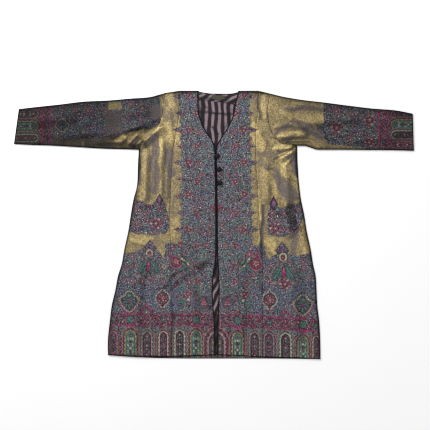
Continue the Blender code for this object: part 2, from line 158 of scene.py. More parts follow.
BACK_HEM = chalk((-368, 924), (-257, 932), (-65, 936), (180, 936), (374, 938))
NECKLINE = chalk((-51, 3), (-33, 6), (-12, 9), (41, 10), (66, 9), (87, 4))
FACING_SEAM = chalk((-60, 30), (-2, 37), (40, 41), (90, 49))
LABEL_TOP_LEFT = Point(-6, 15)
LABEL_WIDTH = 46
LABEL_HEIGHT = 14
OUTWARD = {"left": -1, "right": 1}
print("marks down the side seams:", len(SIDE_SEAMS), "and down the fronts:", len(FRONTS))

# %% [markdown]
# ## Smooth lines
# A tailor joins chalk marks with a bent ruler. A curve object could draw the same line, but it
# can't say where a seam lies at a given row. So the curve is worked out here, with its slopes
# held back at each mark, and the same few functions serve seams, hems and bindings.

# %% Smooth lines through the tables


def ease(value):
    """0 below 0, 1 above 1, and a smooth step between."""
    value = np.clip(value, 0.0, 1.0)
    return value * value * (3.0 - 2.0 * value)


def slopes(x, y):
    """Slopes for a curve through the marks that never overshoots them."""
    rise = np.diff(y) / np.diff(x)
    slope = np.concatenate([rise[:1], (rise[1:] + rise[:-1]) / 2, rise[-1:]])
    for i, step in enumerate(rise):
        if step == 0:
            slope[i] = slope[i + 1] = 0.0
            continue
        before, after = slope[i] / step, slope[i + 1] / step
        size = math.hypot(before, after)
        if size > 3:
            slope[i] = 3 * before / size * step
            slope[i + 1] = 3 * after / size * step
    return slope


def curve(at, x, y):
    """Reads a smooth curve through the marks x, y at the places at."""
    x, y = np.asarray(x, float), np.asarray(y, float)
    at = np.clip(np.asarray(at, float), x[0], x[-1])
    slope = slopes(x, y)
    i = np.clip(np.searchsorted(x, at) - 1, 0, len(x) - 2)
    span = x[i + 1] - x[i]
    t = (at - x[i]) / span
    return (
        (1 + 2 * t) * (1 - t) ** 2 * y[i]
        + t * (1 - t) ** 2 * span * slope[i]
        + t * t * (3 - 2 * t) * y[i + 1]
        + t * t * (t - 1) * span * slope[i + 1]
    )


def line_at(points, share):
    """Places on a smooth line at the given shares of its length."""
    points = np.array(points, float)
    run = np.concatenate([[0], np.cumsum(np.hypot(*np.diff(points, axis=0).T))])
    at = np.asarray(share, float) * run[-1]
    return np.stack([curve(at, run, points[:, 0]), curve(at, run, points[:, 1])], axis=-1)


def marks(rows, name):
    """One column of a table."""
    return [getattr(row, name) for row in rows]


def outer_line(side, short=0):
    """The outer edge of a front: down the armhole, then down the side seam, short of the hem."""
    upper = line_at(ARMHOLE[side], np.linspace(0, 1, ARMHOLE_ROWS + 1))
    foot = FRONT_HEM[side][0 if side == "left" else -1]
    armpit = ARMHOLE[side][-1]
    down = np.linspace(armpit.down, foot.down - short, SIDE_ROWS + 1)
    levels = [armpit.down, *marks(SIDE_SEAMS, "down")]
    across = [armpit.across, *marks(SIDE_SEAMS, side)]
    lower = np.stack([curve(down, levels, across), down], axis=-1)
    return np.concatenate([upper, lower[1:]])


def inset_down(line, amount):
    """A line measured across, moved sideways so that the strip it leaves is amount wide."""
    slope = np.gradient(line[:, 0], line[:, 1])
    moved = line.copy()
    moved[:, 0] += amount * np.sqrt(1 + slope**2)
    return moved


def front_lines(side):
    """Lines of a front, each with a point for every row: outer edge, long seam, front edge."""
    hem = sorted(FRONT_HEM[side])
    outer = outer_line(side, BINDING_WIDTH + GAP)
    share = (outer[:, 1] - outer[0, 1]) / (outer[-1, 1] - outer[0, 1])
    lines = [outer]
    for name in (f"seam_{side}", f"edge_{side}"):
        foot = curve(getattr(FRONTS[-1], name), marks(hem, "across"), marks(hem, "down"))
        down = share * (foot - BINDING_WIDTH - GAP)
        across = curve(down, marks(FRONTS, "down"), marks(FRONTS, name))
        lines.append(np.stack([across, down], axis=-1))
    return lines


print("rows down a front:", len(outer_line("left")))

# %% [markdown]
# ## Folds and creases
# A jacket laid on a table keeps soft folds where it was worn and bunches at the armpits.
# They could be simulated, but then no fold would lie where the photograph has it. So each is
# one row of a table: a line on the cloth, how wide the fold is and how high it stands. The
# first table repeats the folds of the solids, the second adds the finer creases between them.

# %% Tables of folds
Fold = namedtuple("Fold", "across down to_across to_down width height")
FOLDS = [Fold(*row) for row in (
    # Bunched cloth at the left armpit, and the long creases of the left sleeve.
    (-320, 158, -268, 196, 11, 9), (-254, 189, -177, 126, 13, 8), (-222, 112, -404, 172, 16, 8),
    (-530, 158, -355, 144, 15, 6), (-642, 108, -485, 94, 17, 5),
    # Bunched cloth at the right armpit, and the creases of the right sleeve.
    (289, 208, 233, 242, 11, 9), (278, 197, 212, 207, 10, 8), (229, 161, 324, 158, 11, 8),
    (240, 74, 324, 150, 13, 7), (303, 116, 520, 94, 17, 6), (485, 172, 646, 158, 17, 5),
    # Soft upright folds of the chest.
    (-233, 214, -240, 406, 13, 6), (-180, 178, -184, 402, 12, 6), (250, 248, 261, 396, 13, 6),
    (184, 242, 191, 388, 13, 5),
    # Slanting folds at the hips.
    (299, 438, 331, 584, 13, 6), (-180, 690, -26, 595, 13, 5), (257, 508, 320, 458, 11, 5),
    # Soft upright folds of the skirt.
    (-261, 598, -275, 889, 20, 6), (-75, 662, -68, 889, 19, 5), (96, 598, 93, 889, 19, 5),
    (271, 626, 292, 889, 20, 6),
)]
CREASES = [Fold(*row) for row in (
    # Around the left armpit and up the left sleeve.
    (-296, 190, -262, 150, 5, 3), (-283, 200, -236, 164, 4, 2.5), (-246, 178, -214, 160, 4, 2.2),
    (-330, 190, -300, 160, 6, 2.6), (-190, 96, -300, 140, 5, 2), (-420, 186, -300, 176, 6, 2),
    (-470, 120, -380, 108, 8, 1.6), (-560, 92, -500, 126, 7, 1.6), (-600, 150, -520, 170, 7, 1.6),
    # Around the right armpit and up the right sleeve.
    (262, 214, 206, 236, 4, 2.6), (286, 222, 252, 262, 5, 2.8), (270, 176, 330, 176, 4, 2.2),
    (206, 132, 262, 118, 5, 2.4), (262, 118, 330, 132, 6, 2.6), (330, 132, 400, 168, 6, 2.4),
    (250, 66, 316, 52, 7, 2), (316, 54, 398, 62, 7, 1.8), (420, 118, 500, 146, 7, 1.6),
    (560, 88, 620, 128, 7, 1.6),
    # Chest and waist of the left front.
    (-156, 60, -140, 180, 7, 1.6), (-204, 232, -208, 352, 8, 2.2), (-158, 236, -164, 386, 7, 1.8),
    (-262, 236, -252, 330, 5, 1.8), (-226, 396, -190, 420, 8, 1.6), (-110, 300, -40, 318, 9, 1.2),
    (-96, 430, -30, 410, 9, 1.2),
    # Chest and waist of the right front.
    (140, 36, 166, 96, 7, 1.6), (158, 140, 190, 190, 7, 2), (206, 226, 282, 196, 6, 2.4),
    (158, 250, 196, 276, 6, 2), (214, 282, 232, 330, 8, 2.2), (238, 330, 280, 380, 9, 2.4),
    (286, 236, 288, 286, 5, 2), (64, 330, 128, 310, 9, 1.2), (60, 470, 140, 486, 9, 1.2),
    # Hips and skirt.
    (-300, 520, -240, 540, 8, 1.6), (-206, 570, -150, 640, 8, 1.8),
    (-160, 700, -110, 640, 6, 1.8), (-220, 660, -215, 860, 10, 1.4),
    (-120, 760, -116, 900, 10, 1.3), (-30, 700, -28, 900, 8, 1.2), (40, 640, 46, 900, 9, 1.2),
    (150, 560, 158, 720, 8, 1.4), (210, 520, 236, 640, 9, 1.6), (226, 700, 232, 900, 10, 1.4),
    (330, 640, 344, 880, 8, 1.4),
)]


def from_bar(points, start, end):
    """How far along a bar each point lies, as a share of its length, and how far from it."""
    run = end - start
    share = (points - start) @ run / (run @ run)
    return share, np.hypot(*(points - start - np.clip(share, 0, 1)[:, None] * run).T)


def from_fold(points, fold):
    """The same for a fold's line on the cloth."""
    start = np.array([fold.across, fold.down], float)
    return from_bar(points, start, np.array([fold.to_across, fold.to_down], float))


def fold_height(points):
    """Height of all folds and creases over each point, in millimetres."""
    height = np.zeros(len(points))
    for fold in FOLDS + CREASES:
        share, away = from_fold(points, fold)
        taper = ease((share + 0.15) / 0.35) * ease((1.15 - share) / 0.35)
        height += fold.height * taper * np.exp(-((away / fold.width) ** 2))
    return height


def outline_lines():
    """The edges where front and back meet: shoulders, sleeve folds and side seams."""
    fine = np.linspace(0, 1, 40)
    lines = []
    for side in OUTWARD:
        lines.append(line_at(SLEEVE_TOP[side], fine))
        lines.append(line_at(SLEEVE_FOOT[side], fine))
        lines.append(outer_line(side)[ARMHOLE_ROWS::10])
        shoulder = Point(getattr(FRONTS[0], f"edge_{side}"), 0)
        lines.append(np.array([ARMHOLE[side][0], shoulder], float))
    return lines


def distance_to(lines, points):
    """Distance from each point to the nearest of several broken lines."""
    best = np.full(len(points), np.inf)
    for line in lines:
        for start, end in zip(line[:-1], line[1:]):
            best = np.minimum(best, from_bar(points, start, end)[1])
    return best


OUTLINE = outline_lines()


def lift(points, edge):
    """How far folds raise the cloth above where it would lie flat."""
    return fold_height(points) * ease(edge / FOLD_EDGE)


def front_top(points):
    """Top of a front: down on the back at its seams, on the lining inside them."""
    edge = distance_to(OUTLINE, points)
    inside = ease(edge / SEAM_SLOPE)
    return LINING_LOW + (FRONT_LOW - LINING_LOW) * inside + lift(points, edge) + SHELL_WALL


print("folds:", len(FOLDS), "creases:", len(CREASES))

# %% [markdown]
# ## Laying the cloth
# A cloth piece starts as a square grid. Its rows and columns are then moved to the places
# that the seams and folds ask for, which keeps the faces even and in line with the threads.
# A Solidify modifier afterwards gives the sheet its wall, downwards from the top that shows.

# %% Sheets of cloth


def read_points(mesh, kind="co"):
    """One row for each point of a mesh: its place, or its normal."""
    values = np.empty(len(mesh.vertices) * 3, np.float32)
    mesh.vertices.foreach_get(kind, values)
    return values.reshape(-1, 3)


def grid_sheet(name, places, closed=False):
    """A mesh grid whose point in row i and column j is moved to places[i, j]."""
    rows, columns = places.shape[:2]
    cells = columns if closed else columns - 1
    bm = bmesh.new()
    bmesh.ops.create_grid(bm, x_segments=cells, y_segments=rows - 1, size=0.5)
    mesh = bpy.data.meshes.new(name)
    bm.to_mesh(mesh)
    start = read_points(mesh) + 0.5
    i = np.rint(start[:, 1] * (rows - 1)).astype(int)
    j = np.rint(start[:, 0] * cells).astype(int) % columns
    mesh.vertices.foreach_set("co", places[i, j].astype(np.float32).ravel())
    bm.clear()
    bm.from_mesh(mesh)
    if closed:
        bmesh.ops.remove_doubles(bm, verts=bm.verts[:], dist=1e-6)
    bm.normal_update()
    upper = max(bm.faces, key=lambda face: face.calc_center_median().z)
    if upper.normal.z < 0:
        bmesh.ops.reverse_faces(bm, faces=bm.faces[:])
    bm.to_mesh(mesh)
    bm.free()
    mesh.shade_smooth()
    return mesh


def mesh_of(bm, name):
    """Turns finished bmesh work into a smooth mesh."""
    mesh = bpy.data.meshes.new(name)
    bm.to_mesh(mesh)
    bm.free()
    mesh.shade_smooth()
    return mesh


def new_piece(name, mesh, slot, *nodes):
    """Puts a finished mesh in the scene, riding on the jacket, in place of the named solids."""
    piece = bpy.data.objects.new(name, mesh)
    bpy.context.scene.collection.objects.link(piece)
    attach(piece, "root")
    if nodes:
        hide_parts(*nodes)
    return piece


def flat_size(plan):
    """Width, length and area in metres of a piece laid out in the plan."""
    low, high = plan.reshape(-1, 2).min(axis=0), plan.reshape(-1, 2).max(axis=0)
    first = plan[1:, :-1] - plan[:-1, :-1]
    second = plan[:-1, 1:] - plan[:-1, :-1]
    area = np.abs(first[..., 0] * second[..., 1] - first[..., 1] * second[..., 0]).sum()
    return (high[0] - low[0]) * MM, (high[1] - low[1]) * MM, area * MM * MM


def cloth_piece(node, name, plan, height, wall, finish, layers=1, closed=False, **rests):
    """Lays a cloth piece, with a wall down from the side that shows, and states its flat size."""
    mesh = grid_sheet(name, place(plan[..., 0], plan[..., 1], height), closed)
    piece = new_piece(name, mesh, finish, node)
    body = piece.modifiers.new("wall", "SOLIDIFY")
    body.thickness = wall * MM
    body.offset = -1
    wide, tall, area = flat_size(plan)
    tall *= layers
    print(node, f"{wide:.3f} x {tall:.3f} m, {area:.3f} m2")
    return piece


# %% [markdown]
# ## The fronts
# Each front has two pieces joined by a long seam from the shoulder to the hem. The cloth
# turns down a little where it is sewn, so a seam shows as a fine groove.

# %% Fronts
SEAM_GROOVE = 0.7
GROOVE_WIDTH = 2.6


def between(first, last, shares):
    """Plan points between two lines, which have a point for each row."""
    shares = np.asarray(shares, float)[None, :, None]
    return first[:, None, :] * (1 - shares) + last[:, None, :] * shares


def groove(plan):
    """How far the cloth dips towards the first and last column of a piece."""
    to_first = np.hypot(*np.moveaxis(plan - plan[:, :1], -1, 0))
    to_last = np.hypot(*np.moveaxis(plan - plan[:, -1:], -1, 0))
    near = np.minimum(to_first, to_last)
    return SEAM_GROOVE * np.exp(-((near / GROOVE_WIDTH) ** 2))


def front_piece(node, plan):
    """One piece of a front. Its top follows the folds, and dips at its seams."""
    top = front_top(plan.reshape(-1, 2)).reshape(plan.shape[:2]) - groove(plan)
    return cloth_piece(
        node, f"{node}_cloth", plan, top, CLOTH, "shawl_cloth", rests_on=["back_lining"]
    )


shawl_pieces = []
for side in OUTWARD:
    inward = -OUTWARD[side]
    outer, seam, edge = front_lines(side)
    shares = np.linspace(0, 1, SIDE_COLUMNS + 1)
    side_plan = between(outer, inset_down(seam, -inward * GAP / 2), shares)
    shares = np.linspace(0, 1, CENTRE_COLUMNS + 1)
    edge_seam = inset_down(edge, -inward * (BINDING_WIDTH + GAP))
    centre_plan = between(inset_down(seam, inward * GAP / 2), edge_seam, shares)
    shawl_pieces.append(front_piece(f"front_{side}_side", side_plan))
    shawl_pieces.append(front_piece(f"front_{side}_centre", centre_plan))

# %% [markdown]
# ## The sleeves
# A sleeve is a flattened tube. Its rings run from the cuff to the armhole, and each ring goes
# over the top, round the folded edge, back underneath and round the other edge. The rings lie
# on a patch between the sleeve's four edges, so they follow the armhole's slant.

# %% Sleeves


def patch(borders, along, share):
    """Plan points inside four lines: along from cuff to armhole, share from top to foot."""
    top, foot, cuff, armhole = borders
    a, s = along[..., None], share[..., None]
    blend = (1 - s) * top(along) + s * foot(along)
    blend = blend + (1 - a) * cuff(share) + a * armhole(share)
    corners = (1 - s) * ((1 - a) * top(0) + a * top(1)) + s * ((1 - a) * foot(0) + a * foot(1))
    return blend - corners


def sleeve_ring():
    """Places round a flattened sleeve: share of its width, and the turn of its folded edges."""
    over = [(share, math.pi / 2) for share in np.linspace(0, 1, SLEEVE_COLUMNS + 1)]
    turns = np.linspace(0, math.pi, EDGE_TURNS + 2)[1:-1]
    foot_edge = [(1, math.pi / 2 - turn) for turn in turns]
    under = [(share, -math.pi / 2) for share in np.linspace(1, 0, UNDER_COLUMNS + 1)]
    top_edge = [(0, -math.pi / 2 - turn) for turn in turns]
    return np.array(over + foot_edge + under + top_edge)


# Above 1, this keeps threads from crossing where the armhole runs level into the sleeve's foot.
ARMPIT_SPREAD = {"left": 1.0, "right": 2.7}


def sleeve_length(side):
    """Length of a sleeve's upper fold, straight across."""
    return abs(SLEEVE_TOP[side][-1].across - SLEEVE_TOP[side][0].across)


def sleeve_borders(side):
    """Top, foot, cuff and armhole of a sleeve, each a line read by shares of its length."""
    clear = np.array([OUTWARD[side] * GAP, -GAP])
    tops, feet = SLEEVE_TOP[side], SLEEVE_FOOT[side]

    def armhole(share):
        spread = 1 - np.clip(1 - share, 0, 1) ** ARMPIT_SPREAD[side]
        return line_at(ARMHOLE[side], spread) + clear

    return (
        lambda along: line_at(tops, along) + clear,
        lambda along: line_at(feet, along) + clear,
        lambda share: line_at([tops[0], feet[0]], share) + clear,
        armhole,
    )


def sleeve_skin(borders, along, radius=SLEEVE_EDGE_RADIUS):
    """Plan and height of a sleeve's outside, ring by ring, with the given radius at its folds."""
    share, turn = sleeve_ring().T
    along, share = np.meshgrid(along, share, indexing="ij")
    turn = np.broadcast_to(turn, along.shape)
    top, foot = borders[:2]
    width = np.hypot(*np.moveaxis(foot(along) - top(along), -1, 0))
    across = np.clip(share * width, SLEEVE_EDGE_RADIUS, width - SLEEVE_EDGE_RADIUS)
    across = across + np.where(share > 0.5, 1, -1) * np.abs(np.cos(turn)) * radius
    plan = patch(borders, along, across / width)
    flat = plan.reshape(-1, 2)
    raised = lift(flat, distance_to(OUTLINE, flat)).reshape(along.shape)
    height = SLEEVE_EDGE_RADIUS + radius * np.sin(turn) + np.where(turn > 0, raised, 0)
    return plan, height


for side in OUTWARD:
    borders = sleeve_borders(side)
    seam = (BINDING_WIDTH + GAP) / sleeve_length(side)
    plan, height = sleeve_skin(borders, np.linspace(seam, 1, SLEEVE_RINGS + 1))
    shawl_pieces.append(cloth_piece(
        f"sleeve_{side}", f"sleeve_{side}_cloth", plan, height, CLOTH, "shawl_cloth",
        layers=2, closed=True, rests_on=["back"],
    ))

# %% [markdown]
# ## The back, its lining and the neck facing
# The back and the lining are whole pieces without a seam down the middle. Both are grids on a
# patch between the shoulders, the side edges and the hem. Only the lining shows from above, in
# the neck and between the fronts, where it lies in shallow creases.

# %% Back and lining
BACK_ROWS = 150
BACK_COLUMNS = 120
LINING_ROWS = 170
LINING_COLUMNS = 160
LINING_CLOTH = 0.6
FACING_CLOTH = 0.8
LINING_TOP = LINING_LOW + LINING_WALL
LINING_CREASES = [Fold(*row) for row in (
    (-40, 76, 66, 74, 3.2, 1), (-6, 130, 18, 150, 3, 1), (-22, 96, -8, 150, 4, 0.8),
    (52, 60, 30, 130, 4.5, 0.8), (10, 52, 12, 120, 5, 0.6),
)]


def along_line(points):
    """A line as a function of the share of its length."""
    return lambda share: line_at(points, share)


def panel_patch(top, foot, left, right, rows, columns, early=1.0):
    """Plan of a whole panel inside its four edges, its rows closer at the top if early > 1."""
    down, across = np.meshgrid(
        np.linspace(0, 1, rows + 1) ** early, np.linspace(0, 1, columns + 1), indexing="ij"
    )
    borders = (along_line(left), along_line(right), along_line(top), along_line(foot))
    return patch(borders, down, across)


def slim(line, step):
    """Every so-many-th point of a line, and its last."""
    return np.concatenate([line[:-1:step], line[-1:]])


back_left, back_right = (slim(outer_line(side), 6) for side in OUTWARD)
lift_hem = np.array([0, BINDING_WIDTH + GAP])
back_left[-1] -= lift_hem
back_right[-1] -= lift_hem
shoulder_left = Point(FRONTS[0].edge_left, 0)
shoulder_right = Point(FRONTS[0].edge_right, 0)
neck = line_at(NECKLINE, np.linspace(0.06, 0.94, 9)) + lift_hem
back_top = np.concatenate(
    [[back_left[0], shoulder_left], neck, [shoulder_right, back_right[0]]]
)
back_foot = line_at(BACK_HEM, np.linspace(0, 1, 15)) - lift_hem
back_plan = panel_patch(back_top, back_foot, back_left, back_right, BACK_ROWS, BACK_COLUMNS)
back_plan[..., 1] = np.maximum(back_plan[..., 1], 0)
shawl_pieces.append(
    cloth_piece("back", "back_cloth", back_plan, SHELL_WALL, SHELL_WALL, "shawl_cloth")
)


def creases_at(points, table):
    """Height of a few shallow creases over each point."""
    height = np.zeros(len(points))
    for fold in table:
        share, away = from_fold(points, fold)
        share = np.clip(share, 0, 1)
        taper = ease(4 * share * (1.1 - share))
        height += fold.height * np.exp(-((away / fold.width) ** 2)) * taper
    return height


lining_left, lining_right = (slim(outer_line(side, LINING_INSET)[32:], 6) for side in OUTWARD)
lining_left[:, 0] += LINING_INSET
lining_right[:, 0] -= LINING_INSET
facing_seam = line_at(FACING_SEAM, np.linspace(0, 1, 9)) + [0, GAP / 2]
lining_top = np.concatenate([lining_left[:1], facing_seam, lining_right[:1]])
lining_foot = line_at(BACK_HEM, np.linspace(0, 1, 9)) - [0, LINING_INSET]
lining_foot[0], lining_foot[-1] = lining_left[-1], lining_right[-1]
lining_plan = panel_patch(
    lining_top, lining_foot, lining_left, lining_right, LINING_ROWS, LINING_COLUMNS, early=1.6
)
lining_creases = creases_at(lining_plan.reshape(-1, 2), LINING_CREASES)
lining_piece = cloth_piece(
    "back_lining", "lining_cloth", lining_plan,
    LINING_TOP + lining_creases.reshape(lining_plan.shape[:2]),
    LINING_CLOTH, "lining_stripe", rests_on=["back"],
)

facing_top = line_at(NECKLINE, np.linspace(0.03, 0.97, 25)) + [0, BINDING_WIDTH + GAP]
facing_foot = line_at(FACING_SEAM, np.linspace(0, 1, 25)) - [0, GAP / 2]
down = np.linspace(0, 1, 13)[:, None, None]
facing_plan = facing_top[None] * (1 - down) + facing_foot[None] * down
facing_piece = cloth_piece(
    "back_neck_facing", "neck_facing_cloth", facing_plan, LINING_TOP,
    FACING_CLOTH, "lining_stripe", rests_on=["back"],
)

# %% [markdown]
# ## Bindings
# Every raw edge is wrapped in a narrow black tape. The tape is a tube with a rounded,
# flattened section, swept along the edge: rows of a grid follow the edge and its columns go
# round the section. Its open ends are then filled.

# %% Bindings
TAPE_TURNS = np.linspace(0, 2 * math.pi, 13)[:-1]
TAPE_SQUARENESS = 0.62
TAPE_PROUD = 0.15
TAPE_STEP = 4.0
CUFF_TURNS = np.linspace(0, 2 * math.pi, 17)
STITCH_INSET = BINDING_WIDTH + 1.3


def even_line(line, step):
    """A line again, with its points an even step apart."""
    run = np.concatenate([[0], np.cumsum(np.hypot(*np.diff(line[:, :2], axis=0).T))])
    at = np.linspace(0, run[-1], max(2, round(run[-1] / step)) + 1)
    return np.stack([np.interp(at, run, part) for part in line.T], axis=-1)


def sideways(line):
    """For each point of a line, the direction at right angles to it in the plan."""
    along = np.gradient(line[:, :2], axis=0)
    along /= np.hypot(*along.T)[:, None]
    return np.stack([-along[:, 1], along[:, 0]], axis=-1)


def fill_ends(mesh):
    """Closes the open ends of a tube and points all its faces outwards."""
    bm = bmesh.new()
    bm.from_mesh(mesh)
    open_edges = [edge for edge in bm.edges if edge.is_boundary]
    bmesh.ops.holes_fill(bm, edges=open_edges, sides=0)
    bmesh.ops.recalc_face_normals(bm, faces=bm.faces[:])
    bm.to_mesh(mesh)
    bm.free()
    mesh.shade_smooth()


def round_section(turns):
    """Sideways and upward shares of a rounded section, squarer as TAPE_SQUARENESS falls."""
    return (
        np.sign(part) * np.abs(part) ** TAPE_SQUARENESS for part in (np.cos(turns), np.sin(turns))
    )


def tape(name, spine, top, wall, node):
    """A binding along a spine, whose upper side lies at the given height over each point."""
    spine = even_line(np.column_stack([spine, np.broadcast_to(top, len(spine))]), TAPE_STEP)
    wide, tall = round_section(TAPE_TURNS)
    out = sideways(spine)[:, None, :] * wide[None, :, None] * BINDING_WIDTH / 2
    plan = spine[:, None, :2] + out
    half = (wall + TAPE_PROUD) / 2
    height = spine[:, None, 2] + TAPE_PROUD - half + tall[None, :] * half
    mesh = grid_sheet(name, place(plan[..., 0], plan[..., 1], height), closed=True)
    fill_ends(mesh)
    return new_piece(name, mesh, "black_binding", node)


binding_pieces = []
stitch_lines = []
for side in OUTWARD:
    inward = -OUTWARD[side]
    outer, seam, edge = front_lines(side)
    spine = inset_down(edge, -inward * BINDING_WIDTH / 2)
    binding_pieces.append(
        tape(f"edge_tape_{side}", spine, front_top(spine), SHELL_WALL, f"edge_binding_{side}")
    )
    stitch_lines.append(inset_down(edge, -inward * STITCH_INSET))
    feet = [line[-1, 0] for line in (outer, seam, edge)]
    level = sorted(FRONT_HEM[side])
    across = np.linspace(min(feet), max(feet), 60)
    down = curve(across, marks(level, "across"), marks(level, "down"))
    hem = np.stack([across, down], axis=-1)
    spine = hem - [0, BINDING_WIDTH / 2]
    binding_pieces.append(
        tape(f"hem_tape_{side}", spine, front_top(spine), SHELL_WALL, f"hem_binding_{side}")
    )
    stitch_lines.append(hem - [0, STITCH_INSET])
spine = line_at(BACK_HEM, np.linspace(0, 1, 80)) - [0, BINDING_WIDTH / 2]
binding_pieces.append(tape("hem_tape_back", spine, SHELL_WALL, SHELL_WALL, "hem_binding_back"))
spine = line_at(NECKLINE, np.linspace(0.03, 0.97, 40)) + [0, BINDING_WIDTH / 2]
binding_pieces.append(tape("neck_tape", spine, LINING_TOP, LINING_TOP, "neck_binding"))
for side in OUTWARD:
    wide, tall = round_section(CUFF_TURNS)
    along = (1 - wide) / 2 * BINDING_WIDTH / sleeve_length(side)
    radius = SLEEVE_EDGE_RADIUS - SHELL_WALL / 2 + tall[:, None] * (SHELL_WALL / 2 + TAPE_PROUD)
    plan, height = sleeve_skin(sleeve_borders(side), along, radius)
    name = f"cuff_tape_{side}"
    rings = place(plan[..., 0], plan[..., 1], np.maximum(height, 0))
    mesh = grid_sheet(name, rings, closed=True)
    fill_ends(mesh)
    binding_pieces.append(new_piece(name, mesh, "black_binding", f"cuff_binding_{side}"))
print("bindings:", [piece.name for piece in binding_pieces])

# %% [markdown]
# ## Stitches
# The bindings are sewn down by hand, and pale stitches show along the hem of the back. A
# stitch is a small stretched ball, turned along its seam, so hundreds of them stay light.

# %% Stitches
STITCH_STEP = 5.2
STITCH_LONG = 2.6
STITCH_THICK = 0.45
PICK_STEP = 6.6
PICK_LONG = 5.6
PICK_THICK = 0.9


def one_stitch(long, thick):
    """A stitch that lies across the jacket, at the middle of the frame."""
    bm = bmesh.new()
    verts = bmesh.ops.create_uvsphere(bm, u_segments=6, v_segments=5, radius=0.5 * MM)["verts"]
    bmesh.ops.scale(bm, verts=verts, vec=(long, thick, thick))
    return bm


def sew(name, seams, step, long, thick, across_seam=False):
    """Stitches at an even step along seams, each a line of places across, down and high."""
    pattern = one_stitch(long, thick)
    sewn = bmesh.new()
    thread = bpy.data.meshes.new(name)
    count = 0
    for seam in seams:
        line = even_line(seam, step)
        for number, (spot, side) in enumerate(zip(line, sideways(line))):
            angle = math.atan2(-side[1], side[0]) if across_seam else math.atan2(side[0], side[1])
            turn = Matrix.Rotation(angle + 0.12 * math.sin(number * 2.4), 4, "Z")
            stitch = pattern.copy()
            stitch.transform(Matrix.Translation(place(*spot)) @ turn)
            stitch.to_mesh(thread)
            stitch.free()
            sewn.from_mesh(thread)
            count += 1
    sewn.to_mesh(thread)
    pattern.free()
    sewn.free()
    thread.shade_smooth()
    print(name, count, "stitches")
    return new_piece(name, thread, "black_binding")


def raised(line, height):
    """A line in the plan, at one height or at a height for each of its points."""
    return np.column_stack([line, np.broadcast_to(height, len(line))])


seams = [raised(line, front_top(line) + 0.1) for line in stitch_lines]
stitches = sew("binding_stitches", seams, STITCH_STEP, STITCH_LONG, STITCH_THICK)
hem = line_at(BACK_HEM, np.linspace(0.26, 0.73, 60)) - [0, PICK_LONG / 2 + 0.2]
hem = raised(hem, SHELL_WALL + 0.25)
picks = sew("back_hem_picks", [hem], PICK_STEP, PICK_LONG, PICK_THICK, across_seam=True)

# %% [markdown]
# ## Buttons
# A cloth button is a dome gathered round a disc, with a wound thread shank under it. Its
# outline is spun once round, then the gathers are pressed into its rim.

# %% Buttons
BUTTONS = chalk((13.5, 229), (20, 275), (23, 322))
BUTTON_RADIUS = 9.0
SHANK_RADIUS = 4.0
SHANK_HEIGHT = 3.4
DOME_HEIGHT = 6.0
GATHERS = 14
GATHER_DEPTH = 0.28


def button_profile(low):
    """Radius and height from the middle underneath, out round the rim and up over the dome."""
    high = low + SHANK_HEIGHT
    shank = [
        (0, low), (3.4, low), (SHANK_RADIUS, low + 0.4), (3.5, low + 1.0),
        (SHANK_RADIUS, low + 1.6), (3.5, low + 2.2), (3.9, low + 2.8), (3.8, high),
    ]
    rim = [(6.2, high - 0.1), (7.6, high + 0.1), (8.5, high + 0.5)]
    dome = [
        (BUTTON_RADIUS * math.cos(turn), high + 1.1 + (DOME_HEIGHT - 1.1) * math.sin(turn))
        for turn in np.linspace(0, math.pi / 2, 9)
    ]
    return shank + rim + dome


def button_piece(number, spot):
    """A covered button, standing on the cloth on its shank."""
    low = front_top(np.array([spot], float))[0] + GAP
    bm = bmesh.new()
    profile = [bm.verts.new((wide * MM, 0, height * MM)) for wide, height in button_profile(low)]
    edges = [bm.edges.new(pair) for pair in zip(profile[:-1], profile[1:])]
    bmesh.ops.spin(
        bm, geom=profile + edges, axis=(0, 0, 1), cent=(0, 0, 0), angle=2 * math.pi, steps=56,
        use_merge=True,
    )
    bmesh.ops.remove_doubles(bm, verts=bm.verts[:], dist=1e-6)
    bmesh.ops.recalc_face_normals(bm, faces=bm.faces[:])
    for vert in bm.verts:
        radius = math.hypot(vert.co.x, vert.co.y) / MM
        near_rim = math.exp(-(((radius - 7.8) / 1.5) ** 2))
        wave = 0.5 + 0.5 * math.cos(GATHERS * math.atan2(vert.co.y, vert.co.x))
        pull = 1 - GATHER_DEPTH * near_rim * wave / max(radius, 1)
        vert.co.x *= pull
        vert.co.y *= pull
    bmesh.ops.translate(bm, verts=bm.verts[:], vec=place(*spot, 0))
    name = f"covered_button_{number}"
    return new_piece(name, mesh_of(bm, name), "dark_button", f"button_{number}")


button_pieces = [button_piece(number, spot) for number, spot in enumerate(BUTTONS, 1)]
print("buttons:", len(button_pieces))

# %% [markdown]
# ## Button loops
# Each button is held by a loop of two-ply cord, sewn to the edge of the left front. Two
# strands wind round each other along one route, which goes round the button's shank.

# %% Loops
CORD_RADIUS = 1.1
STRAND_RADIUS = 0.62
TWISTS_PER_MM = 0.28
LOOP_CLEARANCE = 0.5
TACK_STEP = 1.0
TACK_LONG = 2.6
TACK_THICK = 0.7


def strand(route, phase):
    """Rows of places round one strand that winds about the route."""
    along = np.gradient(route, axis=0)
    along /= np.linalg.norm(along, axis=1)[:, None]
    up = np.broadcast_to([0.0, 0.0, 1.0], route.shape)
    out = np.cross(along, up)
    run = np.concatenate([[0], np.cumsum(np.linalg.norm(np.diff(route, axis=0), axis=1))])
    turn = 2 * math.pi * TWISTS_PER_MM * run[:, None] + phase
    middle = route + (CORD_RADIUS - STRAND_RADIUS) * (np.cos(turn) * out + np.sin(turn) * up)
    section = np.linspace(0, 2 * math.pi, 9)[:-1, None]
    ring = np.cos(section) * out[:, None] + np.sin(section) * up[:, None]
    return middle[:, None] + STRAND_RADIUS * ring


